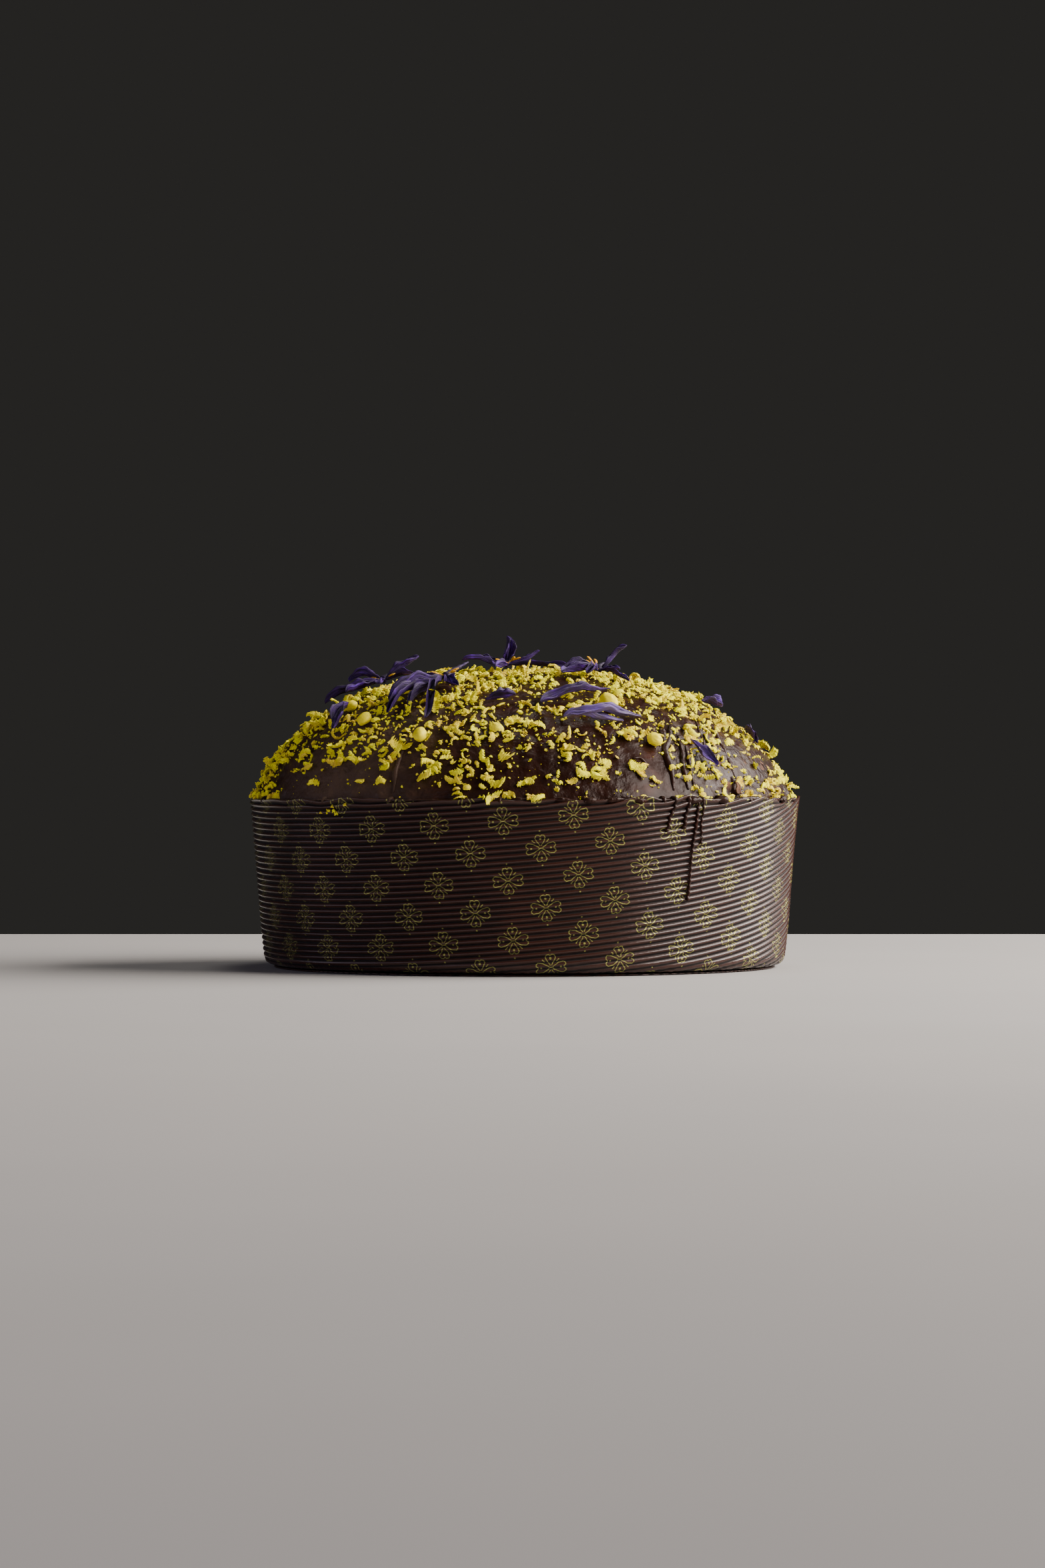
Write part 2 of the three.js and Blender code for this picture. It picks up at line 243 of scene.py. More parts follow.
def tube(centres, radii, sides=10, flatten=1.0):
    """A closed round tube: a ring of sides about each centre, square to the path, with a radius
    that varies along it, and a blunt point at each end. flatten squashes it along the ring's second
    axis."""
    along = np.gradient(centres, axis=0)
    along /= np.linalg.norm(along, axis=1, keepdims=True)
    outward = centres * [1, 1, 0.6]
    side = np.cross(along, outward)
    side /= np.maximum(np.linalg.norm(side, axis=1, keepdims=True), 1e-9)
    up = np.cross(side, along)
    angle = full_turn(sides)[..., None]
    ring = np.cos(angle) * side[:, None] + flatten * np.sin(angle) * up[:, None]
    points = centres[:, None] + ring * np.asarray(radii)[:, None, None]
    start = centres[0] - along[0] * radii[0] * 0.5
    end = centres[-1] + along[-1] * radii[-1] * 0.5
    return closed_body(points, start, end)


def smooth_path(points, steps):
    """A Catmull-Rom curve through the points, with its ends mirrored, at even steps."""
    p = np.asarray(points, float)
    p = np.concatenate([[2 * p[0] - p[1]], p, [2 * p[-1] - p[-2]]])
    t = np.linspace(0, len(p) - 3, steps)
    i = np.minimum(t.astype(int), len(p) - 4)
    t = (t - i)[:, None]
    a, b, c, d = p[i], p[i + 1], p[i + 2], p[i + 3]
    return 0.5 * (2 * b + (c - a) * t + (2 * a - 5 * b + 4 * c - d) * t**2 + (3 * b - a - 3 * c + d) * t**3)


# ---- meshes ----

def add_piece(name, shells, material, replaced=(), smooth_angle=None, body="root"):
    """Make one object from shells, each (points in mm, list of face arrays, point values by name).
    The value named uv becomes a UV map in metres, and the others become float attributes."""
    points = np.concatenate([shell[0] for shell in shells])
    start = np.cumsum([0] + [len(shell[0]) for shell in shells])
    faces = [part + start[i] for i, shell in enumerate(shells) for part in shell[1]]
    corners = np.concatenate([part.ravel() for part in faces]).astype(np.int32)
    sizes = np.concatenate([np.full(len(part), part.shape[1]) for part in faces])
    mesh = bpy.data.meshes.new(name)
    mesh.vertices.add(len(points))
    mesh.vertices.foreach_set("co", (points * MM).astype(np.float32).ravel())
    mesh.loops.add(len(corners))
    mesh.loops.foreach_set("vertex_index", corners)
    mesh.polygons.add(len(sizes))
    mesh.polygons.foreach_set("loop_start", np.concatenate([[0], np.cumsum(sizes)[:-1]]).astype(np.int32))
    mesh.polygons.foreach_set("use_smooth", np.ones(len(sizes), dtype=bool))
    for key in shells[0][2] if len(shells[0]) > 2 else ():
        values = np.concatenate([shell[2][key] for shell in shells])
        if key == "uv":
            layer = mesh.uv_layers.new(name="sheet")
            layer.uv.foreach_set("vector", (values[corners] * MM).astype(np.float32).ravel())
        else:
            layer = mesh.attributes.new(key, "FLOAT", "POINT")
            layer.data.foreach_set("value", values.astype(np.float32))
    mesh.update(calc_edges=True)
    if mesh.validate():
        raise RuntimeError(f"{name}: the mesh had faults")
    if smooth_angle is not None:
        mesh.set_sharp_from_angle(angle=math.radians(smooth_angle))
    piece = bpy.data.objects.new(name, mesh)
    bpy.context.scene.collection.objects.link(piece)
    mesh.materials.append(material)
    if body:
        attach(piece, body)
    if replaced:
        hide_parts(*replaced)
    return piece


def ring_points(radius, azimuth, height):
    """Points from radii, azimuths counted from +X, and heights."""
    return np.stack(np.broadcast_arrays(radius * np.cos(azimuth), radius * np.sin(azimuth), height), -1)


# ---- the dome ----

DOME_STEPS = 3000  # points on the outline that distances are counted along
FOOT_MARGIN = 0.12  # mm that a scattered piece keeps from the dome's widest radius


class Dome:
    """The dome's outline: (radius / R) ** power + (height / rise) ** 2 = 1, above its foot.
    A place on it is given by its distance from the top along the surface and its azimuth."""

    def __init__(self, look, inset=0.0):
        self.radius = look.dome_radius / MM - inset
        self.foot = look.dome_foot / MM
        self.rise = GLAZE_TOP - self.foot - inset
        self.power = look.power
        t = np.linspace(0, math.pi / 2, DOME_STEPS)
        self.radii = self.radius * np.sin(t) ** (2 / self.power)
        self.heights = self.foot + self.rise * np.cos(t)
        steps = np.hypot(np.diff(self.radii), np.diff(self.heights))
        self.distances = np.concatenate([[0], np.cumsum(steps)])

    def height(self, radius):
        """Height of the dome at a radius from its axis."""
        inside = np.clip(1 - (np.minimum(radius, self.radius) / self.radius) ** self.power, 0, 1)
        return self.foot + self.rise * np.sqrt(inside)

    def normal(self, x, y, z):
        """Unit normal: the gradient of the outline's equation."""
        radius = np.maximum(np.hypot(x, y), 1e-6)
        outward = self.power / self.radius * np.minimum(radius / self.radius, 1) ** (self.power - 1)
        upward = 2 * np.maximum(z - self.foot, 0) / self.rise**2
        normal = np.stack([outward * x / radius, outward * y / radius, upward], -1)
        return normal / np.linalg.norm(normal, axis=-1, keepdims=True)

    def at(self, distance, azimuth):
        """Points at distances from the top and azimuths."""
        radius = np.interp(distance, self.distances, self.radii)
        height = np.interp(distance, self.distances, self.heights)
        return ring_points(radius, azimuth, height)

    def frames(self, x, y, heading):
        """Points over plan places, and the axes there: forward, left and up, as rows."""
        x, y, heading = (np.asarray(value, float) for value in (x, y, heading))
        z = self.height(np.hypot(x, y))
        up = self.normal(x, y, z)
        ahead = np.stack([np.cos(heading), np.sin(heading), np.zeros_like(heading)], -1)
        left = np.cross(up, ahead)
        left /= np.linalg.norm(left, axis=-1, keepdims=True)
        return np.stack([x, y, z], -1), np.stack([np.cross(left, up), left, up], -2)

    def held(self, place):
        """Plan places, with those past the foot drawn back onto the dome."""
        return place * np.minimum(1, (self.radius - FOOT_MARGIN) / np.hypot(*place.T))[:, None]

    def seated(self, x, y, heading, height, local):
        """Points given forward, left and up from a plan place, set at a height over the glaze."""
        origin, axes = self.frames(x, y, heading)
        return origin + axes[2] * (height + glaze_relief(origin)) + local @ axes


# ---- the paper case ----

HEM = 9.0  # mm that the wall's lower edge turns in under the loaf
LAP = 10.0  # mm of paper that overlap at the glued seam
WALL_RUN = 0.088  # how far the wall leans out for each mm of height
LINER = 0.15  # mm that the smooth inner face lies further in than the paper's thickness
SIDE_ROWS = 176  # rows of points on the ribbed side
WALL_COLUMNS = 400


class Sheet:
    """The wall's flat paper sheet. Unrolled, a cone is a sector of a disc: a point of the wall has
    its distance from the cone's apex and a sector angle, which is its azimuth times the sine of
    the cone's half angle. The ribs are straight parallel lines on the flat sheet."""

    def __init__(self, look):
        self.base_radius = look.base_radius / MM
        self.slope = math.atan2(RIM_RADIUS - self.base_radius, CASE_HEIGHT)
        self.level = look.level_azimuth
        self.pitch = look.rib_pitch / MM
        self.depth = look.rib_depth / MM

    def radius(self, height):
        """The wall's radius at a height."""
        return self.base_radius + height * math.tan(self.slope)

    def flat(self, height, azimuth):
        """Sheet coordinates in mm: along the ribs, and across them."""
        apex = self.radius(height) / math.sin(self.slope)
        angle = (azimuth - self.level) * math.sin(self.slope)
        return apex * np.sin(angle), apex * np.cos(angle)

    def rib(self, across):
        """Height of the rib over its groove, 0 to 1: broad round ridges and narrow grooves."""
        return np.abs(np.cos(math.pi * across / self.pitch)) ** 1.2


def front_azimuth(azimuth, radius, height):
    """Points from an azimuth counted from the front (-Y) towards the right (+X)."""
    return ring_points(radius, np.asarray(azimuth) - math.pi / 2, height)


def wall_profile(sheet, corner, offset, steps):
    """Half section of the wall, offset inwards: hem, rounded corner and sloping side.
    steps are the numbers of points on the three stretches. Returns radius, height and normal."""
    hem_rows, corner_rows, side_rows = steps
    turn_height = PAPER + GAP + corner
    turn_radius = sheet.radius(turn_height) - corner
    hem = np.linspace(turn_radius - HEM, turn_radius, hem_rows, endpoint=False)
    bend = np.linspace(0, math.pi / 2 - sheet.slope, corner_rows, endpoint=False)
    side = np.linspace(0, 1, side_rows)
    angle = np.concatenate([np.zeros(hem_rows), bend, np.full(side_rows, math.pi / 2 - sheet.slope)])
    start = turn_height - corner * math.sin(sheet.slope)
    radius = np.concatenate([hem, turn_radius + corner * np.sin(bend),
                             sheet.radius(start) + side * (RIM_RADIUS - sheet.radius(start))])
    height = np.concatenate([np.full(hem_rows, PAPER + GAP), turn_height - corner * np.cos(bend),
                             start + side * (CASE_HEIGHT - start)])
    return radius - offset * np.sin(angle), height + offset * np.cos(angle), angle


def build_case_wall(look):
    """The corrugated strip. Its outside is the wall's section, pushed in by the depth of the
    grooves. Its inside is a smooth face about one thickness of paper further in. It has a ragged
    rim, a crimped corner and a glued lap, which lifts away from the sheet under it."""
    sheet = Sheet(look)
    corner = look.corner / MM
    columns = WALL_COLUMNS
    azimuth = np.linspace(look.seam_azimuth - TURN, look.seam_azimuth + LAP / RIM_RADIUS, columns)[None]
    lift = 1.15 * smoothstep(look.seam_azimuth - 0.11, look.seam_azimuth - 0.03, azimuth)
    ripple = waves(front_azimuth(azimuth, RIM_RADIUS, 0.0), 21, 3, 16) * 0.75
    layers = []
    for offset, steps in ((0.0, (3, 10, SIDE_ROWS)), (PAPER + LINER, (2, 4, 6))):
        outside = offset == 0
        radius, height, angle = (value[:, None] for value in wall_profile(sheet, corner, offset, steps))
        along, across = sheet.flat(height, azimuth)
        rib = sheet.rib(across)
        crimp = smoothstep(2.0, 8.0, height)
        groove = sheet.depth * (1 - rib) * (0.15 + 0.85 * crimp)
        pleat = 0.16 * (1 - crimp) * np.cos(azimuth * 190 + 3 * np.sin(azimuth * 17))
        bulge = 0.35 * waves(front_azimuth(azimuth, radius, height), 70, 11) * smoothstep(2, 25, height)
        inward = (groove - 0.3 * crimp + pleat) * outside - bulge - lift
        rim = smoothstep(CASE_HEIGHT - 5, CASE_HEIGHT, height)
        radius = radius - inward * np.sin(angle) + 0.25 * rim * rib
        height = height + inward * np.cos(angle) * (angle < 1) + rim * (ripple + 0.9 * (rib - 0.6))
        height = np.maximum(height, PAPER + 0.05)
        points = front_azimuth(azimuth, radius, height).reshape(-1, 3)
        uv = np.stack(np.broadcast_arrays(along, across), -1).reshape(-1, 2)
        layers.append((points, uv))
    points, uv = (np.concatenate(values) for values in zip(*layers))
    split = len(layers[0][0])
    outer = np.arange(split).reshape(-1, columns)
    inner = np.arange(split, len(points)).reshape(-1, columns)
    faces = [quads(outer)[:, ::-1], quads(inner)]
    faces.append(quads(np.stack([outer[-1], inner[-1]]))[:, ::-1])
    faces.append(quads(np.stack([inner[0], outer[0]]))[:, ::-1])
    first = np.concatenate([outer[:, 0], inner[::-1, 0]])
    last = np.concatenate([outer[:, -1], inner[::-1, -1]])
    faces += [first[None], last[None, ::-1]]
    add_piece("paper_case_wall", [(points, faces, {"uv": uv})], corrugated_baking_paper(look, sheet),
              ["case_wall"])


def build_case_base(look):
    """The paper disc: a top and a bottom with a pressed rim, faintly waved and flat where it
    stands, each ring's height a function of its radius and azimuth."""
    rows, columns = 26, 160
    radius = BASE_DISC_RADIUS * np.linspace(0, 1, rows)[1:, None] ** 0.8
    azimuth = full_turn(columns)
    flat = smoothstep(BASE_DISC_RADIUS, BASE_DISC_RADIUS - 3, radius)
    ridge = 0.12 * np.abs(np.sin(math.pi * radius * np.sin(azimuth) / 2.3))
    press = 0.25 * np.exp(-(((radius - BASE_DISC_RADIUS + 9) / 1.2) ** 2))
    top = BASE_HIGH[2] - 0.1 - ridge * flat - 0.15 * (1 - flat)
    bottom = ridge * 0.8 * flat + press + 0.2 * (1 - flat)
    upper = ring_points(radius, azimuth, top)
    lower = ring_points(radius, azimuth, bottom)
    body = np.concatenate([upper, lower[::-1]])
    points, faces = closed_body(body, (0, 0, BASE_HIGH[2] - 0.1), (0, 0, 0))
    uv = points[:, :2] + [0, 5000]  # a stretch of the sheet that the wall doesn't use
    add_piece("paper_case_base", [(points, faces, {"uv": uv})],
              corrugated_baking_paper(look, Sheet(look), printed=False), ["case_base"])


# ---- loaf and glaze ----

# Streams of glaze that ran down the dome: plan places in mm, and radii along the stream.
STREAMS = [
    ([(53, -70), (54, -76), (54, -80)], 1.0, 1.6),
    ([(57, -70), (56.5, -77), (55, -83), (57, -88.5), (57.2, -91)], 1.5, 0.9),
    ([(60, -73), (62, -79), (62, -84), (63, -87)], 0.7, 1.0),
    ([(63, -75), (64.5, -80), (65.5, -84.5)], 0.5, 0.8),
    ([(72, -46), (75.5, -51), (79, -56), (82, -60.5), (84, -64.5)], 1.2, 1.0),
    ([(67, -56), (70, -64), (72, -69.5)], 0.5, 0.5),
    ([(92, -34), (96, -38.5), (99, -40.5)], 0.7, 0.6),
    ([(42, -93), (45, -91.5), (48, -92.5)], 0.6, 0.5),
    ([(-47, -86), (-50, -92), (-50.5, -95)], 0.9, 0.6),
    ([(-12, 88), (-15, 98), (-16, 103)], 0.9, 1.1),
    ([(60, 72), (66, 78), (70, 80.5)], 1.0, 0.8),
    ([(-80, 40), (-90, 46), (-94, 49)], 0.8, 0.9),
]

# Drips over the rim: azimuth at the rim and at the end in degrees from +X, height of the end,
# and radius, in mm. These are the drips of the CAD glaze, a little thinner.
DRIPS = [(-58.4, -60.3, 56, 0.75), (-55.1, -56.2, 57, 0.8), (-52.8, -54.4, 29, 0.72),
         (-51.5, -51.6, 51, 0.6)]

# Lumps of glaze caught on the rim: azimuth in degrees from +X, and radius.
RIM_LUMPS = [(-46.3, 1.5), (-61, 1.2), (-66, 0.9), (-95, 1.1), (-118, 0.9), (-37, 1.1), (-22, 1.2), (12, 1.3),
             (48, 1.0), (90, 1.4), (128, 1.1), (171, 1.2), (-160, 1.1), (-135, 1.0), (-78, 0.8)]

DRIP_LUMP = 1.15  # radius of the lump where a drip starts
STREAM_SWELL = 1.35  # how much wider a stream is than its radii say, as it lies half sunk
SKIRT = 3.0  # mm that the glaze reaches down between loaf and case
HOLE = (81.0, -69.0)  # where the glaze tore away at the rim
SMOOTH_PATCH = (48.0, -94.0)  # where the glaze set smooth and shiny
DULL_PATCH = (-72.0, -78.0)  # where the glaze is thin, dull and granular


def near(points, place, reach):
    """1 at a plan place, falling to 0 with distance as a bell curve."""
    return np.exp(-((points[..., 0] - place[0]) ** 2 + (points[..., 1] - place[1]) ** 2) / reach**2)


def glaze_relief(points):
    """Height of the set glaze over the smooth dome: the loaf's slumped right shoulder, its waist
    and the flare at its foot, broad swells, soft lumps, runs down the slope, grain where it is
    thin, and the torn hole."""
    x, y, z = np.moveaxis(points, -1, 0)
    radius = np.hypot(x, y)
    azimuth = np.arctan2(y, x)
    low = smoothstep(60, 95, radius)
    calm = 1 - 0.9 * near(points, SMOOTH_PATCH, 14)
    dull = near(points, DULL_PATCH, 32)
    slump = -2.3 * smoothstep(58, 92, x) * (1 - 0.8 * smoothstep(84, 70, z))
    waist = 1.2 * smoothstep(75, 67, z) - 1.3 * np.exp(-(((z - 86) / 10) ** 2))
    swell = 0.45 * waves(points, 38, 21)
    lumps = 0.2 * waves(points, 7, 22, 28) * calm
    runs = 0.28 * low * calm * waves(ring_points(100.0, azimuth, z / 7), 8, 23, 24)
    grain = (0.03 + 0.14 * dull) * waves(points, 2.6, 24, 36) * calm
    hole = -3.2 * near(points, HOLE, 2.0)
    dents = -0.8 * near(points, (70, -77), 2.2) - 0.7 * near(points, (66, -80), 1.6)
    return slump + waist + swell + lumps + runs + grain + hole + dents


def build_glaze(look, case_look):
    """The coat: a shell of revolution whose outside is the dome plus its relief, with a foot that
    runs down between loaf and case, and the streams, drips and lumps as tubes with round ends."""
    dome = Dome(look)
    inner_dome = Dome(look, look.thickness / MM)
    sheet = Sheet(case_look)
    rows, columns = 148, 480
    azimuth = full_turn(columns)
    distance = np.linspace(0, dome.distances[-1] - 2.0, rows)[1:, None]
    outside = dome.at(distance, azimuth)
    relief = glaze_relief(outside)
    outside = outside + dome.normal(*np.moveaxis(outside, -1, 0)) * relief[..., None]
    foot = dome.foot - SKIRT
    foot_rows = []
    for height, clearance in ((CASE_HEIGHT - 0.3, 1.0), (CASE_HEIGHT - 1.2, 0.35), (foot, 0.35)):
        radius = sheet.radius(height) - PAPER - clearance
        wobble = 0.25 * waves(front_azimuth(azimuth, 1.0, 0.0) * 3, 1.0, 31) * (clearance > 0.5)
        foot_rows.append(ring_points(radius, azimuth, height + wobble))
    inside_distance = np.linspace(inner_dome.distances[-1], 0, 12)[:-1, None]
    inside = inner_dome.at(inside_distance, azimuth)
    bottom = inside[:1] * [1, 1, 0] + [0, 0, foot]
    body = np.concatenate([outside, *foot_rows, bottom, inside])
    crown = dome.height(0) + glaze_relief(np.zeros(3))
    shells = [closed_body(body, (0, 0, crown), (0, 0, inner_dome.height(0)))]

    shells += [stream(dome, *row) for row in STREAMS]
    shells += [drip(sheet, *row) for row in DRIPS]
    shells += [rim_lump(*row) for row in RIM_LUMPS]
    shells += [rim_lump(rim_azimuth, DRIP_LUMP) for rim_azimuth, *_ in DRIPS]
    shells.append(rim_bead())
    for i, (points, faces) in enumerate(shells):
        dull = near(points, DULL_PATCH, 34) * (1 - near(points, SMOOTH_PATCH, 20))
        shells[i] = points, faces, {"dull": dull, "smooth": near(points, SMOOTH_PATCH, 10)}
    add_piece("dark_chocolate_glaze", shells, set_dark_chocolate(look),
              ["chocolate_glaze"])


def stream(dome, places, start_radius, end_radius):
    """A stream: a flattened tube along the smooth curve through its plan places, half sunk in the
    glaze, thin at both ends and uneven along its length."""
    path = smooth_path([(x, y, 0) for x, y in places], 9 * len(places))
    path[:, 2] = dome.height(np.hypot(path[:, 0], path[:, 1]))
    normal = dome.normal(*path.T)
    path = path + normal * (glaze_relief(path)[:, None] + 0.1)
    share = np.linspace(0, 1, len(path))
    radii = STREAM_SWELL * (start_radius + (end_radius - start_radius) * share)
    radii = radii * np.sqrt(np.clip(np.sin(math.pi * (0.04 + 0.9 * share)), 0.02, 1))
    return tube(path, radii * (1 + 0.16 * waves(path, 4, 41)), 12, 0.75)


def drip(sheet, rim_azimuth, end_azimuth, end_height, radius):
    """A drip: from the glaze over the rim, then down the wall just outside the ribs, thicker where
    it crosses a groove and at its end."""
    rim_azimuth, end_azimuth = np.radians((rim_azimuth, end_azimuth))
    share = np.linspace(0, 1, 90)
    top = CASE_HEIGHT - 0.8
    height = top + (end_height - top) * share
    azimuth = rim_azimuth + (end_azimuth - rim_azimuth) * share + 0.0025 * np.sin(share * 9)
    from_front = azimuth + math.pi / 2
    _, across = sheet.flat(height, from_front)
    rib = sheet.rib(across)
    wall = sheet.radius(height) + 0.3 - 0.45 * sheet.depth * (1 - rib)
    down = ring_points(wall + 0.5 * radius, azimuth, height)
    # Steps over the rim: outward from it, above it, and how thick the drip is there.
    step, rise, thick = np.transpose([(-3.0, -0.6, 1.2), (-2.0, 0.1, 1.4), (-1.0, 0.5, 1.5),
                                      (0.0, 0.4, 1.4), (0.5, -0.2, 1.1)])
    over = ring_points(RIM_RADIUS + step, rim_azimuth, CASE_HEIGHT + rise)
    swell = 0.62 + 0.34 * (1 - rib) + 0.12 * waves(down, 5, 51) + 0.35 * smoothstep(0.93, 1.0, share)
    return tube(np.concatenate([over, down]), radius * np.concatenate([thick, swell]), 10, 0.8)


def rim_lump(azimuth, radius):
    """A lump sitting on the rim: a short tube across the paper's edge, thickest in the middle."""
    share = np.linspace(-1, 1, 13)
    reach = RIM_RADIUS - 1.4 + 2.0 * share
    azimuth = math.radians(azimuth)
    height = CASE_HEIGHT + 0.5 * radius - 1.3 * np.maximum(share, 0) ** 2 - 0.3 * share
    path = ring_points(reach, azimuth, height)
    return tube(path, radius * np.sqrt(np.clip(1.02 - share**2, 0.02, 1)), 12, 0.7)


def rim_bead():
    """The uneven bead of chocolate that the glaze left along the paper's edge: a closed ring with a
    small round section, whose size and place wander, thickest at the right."""
    columns, sides = 900, 10
    azimuth = full_turn(columns).T
    circle = ring_points(RIM_RADIUS, azimuth, 0.0)
    right = smoothstep(-0.2, 0.9, np.cos(azimuth + 0.5))
    size = 0.2 + (0.15 + 1.1 * right) * smoothstep(-0.6, 1.5, waves(circle, 7, 45))
    size = np.maximum(size + 0.15 * waves(circle, 2.2, 46), 0.15)
    centre = RIM_RADIUS - 0.95 + 0.4 * right + 0.3 * waves(circle, 11, 47)
    height = CASE_HEIGHT - 0.45 + 0.3 * waves(circle, 16, 48) + 0.3 * right
    turn = full_turn(sides)
    points = ring_points(centre + size * np.cos(turn), azimuth, height + 1.05 * size * np.sin(turn))
    grid = ring_grid(columns, sides)
    return points.reshape(-1, 3), [quads(np.concatenate([grid, grid[:1]]))]


def build_loaf(look, case_look):
    """The baked loaf: bottom, rounded corner, side just inside the case and dome just under the
    glaze, one closed body of revolution with a rough crust, and a torn scrap of crust at the hole."""
    low, high = box_mm("loaf")
    inset = look.thickness / MM + GAP
    dome = Dome(look, inset)
    azimuth = full_turn(240)
    top = dome.at(np.linspace(0, dome.distances[-1], 60)[1:, None], azimuth)
    floor = low[2]
    corner = 4.0
    base_radius = case_look.base_radius / MM
    slope = (RIM_RADIUS - base_radius) / CASE_HEIGHT
    side = base_radius - PAPER - 2 * GAP
    shoulder = dome.foot - 4
    outline = [(side + slope * z, z) for z in (shoulder, *np.linspace(shoulder - 4, floor + 5, 26))]
    outline += [(side + slope * 6 - corner * (1 - math.cos(a)), floor + corner * (1 - math.sin(a)))
                for a in np.linspace(0.3, math.pi / 2, 5)]
    outline += [(r, floor) for r in np.linspace(side - 8, 6, 16)]
    radius, height = np.transpose(outline)[..., None]
    body = np.concatenate([top, ring_points(radius, azimuth, height)])
    rough = 0.22 * waves(body, 7, 61) + 0.1 * waves(body, 2.5, 62)
    inward = body * [1, 1, 0]
    inward /= np.maximum(np.linalg.norm(inward, axis=-1, keepdims=True), 1)
    body = body - inward * (0.3 + rough[..., None]).clip(0)
    shells = [closed_body(body, (0, 0, high[2]), (0, 0, floor)), crust_scrap(look)]
    add_piece("baked_loaf", shells, baked_crust(), ["loaf"])


def crust_scrap(look):
    """A torn flake of crust that stands out of the hole in the glaze: a thin ragged curled sheet."""
    u, v = np.meshgrid(np.linspace(0, 1, 14), np.linspace(-1, 1, 9), indexing="ij")
    ragged = 1 + 0.3 * waves(np.stack([u * 6, v * 3, u * 0], -1), 2.4, 71)
    middle = np.stack([5.0 * (u - 0.4), 1.3 * v * ragged * (0.5 + u), 0.5 * v**2 + 0.5 * np.sin(5 * u)], -1)
    points, faces = thin_sheet(middle, np.full(u.shape, 0.25))
    origin, axes = Dome(look).frames(HOLE[0] + 2.0, HOLE[1] + 1.2, math.radians(-40))
    tilt = turn_about(axes[1][None], np.array([-0.25]))[0]
    return origin + (points @ (axes @ tilt.T)) + axes[2] * 0.2, [faces]


# ---- shavings, crumbs and specks ----

def turn_about(axes, angles):
    """Rotation matrices about unit axes by angles (Rodrigues' formula)."""
    x, y, z = axes.T
    zero = np.zeros_like(x)
    skew = np.stack([zero, -z, y, z, zero, -x, -y, x, zero], -1).reshape(-1, 3, 3)
    sine, cosine = np.sin(angles)[:, None, None], np.cos(angles)[:, None, None]
    return np.eye(3) + sine * skew + (1 - cosine) * skew @ skew


def shaving_shapes(rng, length, width, curl, rows, columns, thickness, jag=0.5):
    """Many curled shavings at once. Each is a strip rolled to an arc: along it u runs the arc, and
    across it v runs the width, which narrows to both ends. The strip is bent sideways to a crescent,
    cupped, and pleated from row to row as the blade crumpled it. One long edge is clean, the other
    is torn into teeth, and the two faces meet at the edge."""
    count = len(length)
    u = np.linspace(0, 1, rows)[None, :, None]
    v = np.linspace(-1, 1, columns)[None, None, :]
    arc = curl[:, None, None] * (u - 0.5)
    roll = length[:, None, None] / curl[:, None, None]
    blunt = rng.uniform(0.08, 0.3, (count, 1, 1))
    taper = np.sin(math.pi * (blunt + (0.93 - blunt) * u)) ** 0.5
    side = np.where(np.arange(rows) % 2, 1, -1)[None, :, None]
    teeth = rng.uniform(0.1, 1, (count, rows, 1)) * side
    ragged = jag * teeth * smoothstep(-0.5, 1, v) + 0.2 * rng.normal(0, 1, (count, rows, 1)) * np.abs(v)
    across = width[:, None, None] / 2 * taper * v * (1 + ragged)
    crescent = rng.uniform(-1.1, 1.1, (count, 1, 1)) * length[:, None, None] * (u - 0.5) ** 2
    skew = rng.uniform(-0.4, 0.4, (count, 1, 1)) + 0.22 * teeth * v
    twist = rng.uniform(-0.9, 0.9, (count, 1, 1)) * (u - 0.5)
    cup = rng.uniform(-0.15, 0.4, (count, 1, 1))
    pleat = 0.09 * teeth * (0.6 + v)
    x = roll * np.sin(arc) + skew * across
    y = crescent + across * np.cos(twist)
    z = roll * (1 - np.cos(arc)) + across * np.sin(twist) + cup * np.abs(across) * np.abs(v) + pleat
    middle = np.stack(np.broadcast_arrays(x, y, z), -1) + rng.normal(0, 0.03, (count, rows, columns, 3))
    half = thickness[:, None, None] / 2 * (1 + 0.25 * teeth) * rng.uniform(0.7, 1.3, (count, rows, columns))
    return thin_sheet(middle, half)


def place_shapes(points, rng, dome, x, y, tilt, height):
    """Stand each body on the dome: turned to a random heading, half of them upside down, tilted,
    and with its lowest point at a height over the glaze."""
    count = len(x)
    origin, axes = dome.frames(x, y, rng.uniform(0, TURN, count))
    origin = origin + axes[:, 2] * glaze_relief(origin)[:, None]
    roll = turn_about(axes[:, 0], rng.normal(0, 1, count) * tilt + math.pi * rng.integers(0, 2, count))
    pitch = turn_about(axes[:, 1], rng.normal(0, 1, count) * tilt)
    turned = np.einsum("nij,njk,nlk->nli", pitch, roll, axes)
    centred = points - points.mean(axis=1, keepdims=True)
    placed = np.einsum("nvl,nli->nvi", centred, turned)
    lowest = np.einsum("nvi,ni->nv", placed, axes[:, 2]).min(axis=1)
    return origin[:, None] + placed + axes[:, None, 2] * (height - lowest)[:, None, None]


# Places where more or fewer shavings lie than the general rule says: plan place, reach, change.
COVER_CHANGES = [
    ((48, -95), 10, -1.0), ((76, -66), 16, 0.2), ((86, -61), 10, 0.2), ((72, -81), 7, 0.3),
    ((65, -65), 5, -1.0), ((28, -96), 13, 0.2), ((-54, -92), 9, -0.4), ((79, -56), 6, -0.7),
    ((60, 78), 20, -0.5), ((-40, 92), 22, -0.6), ((100, 20), 12, -0.3),
]


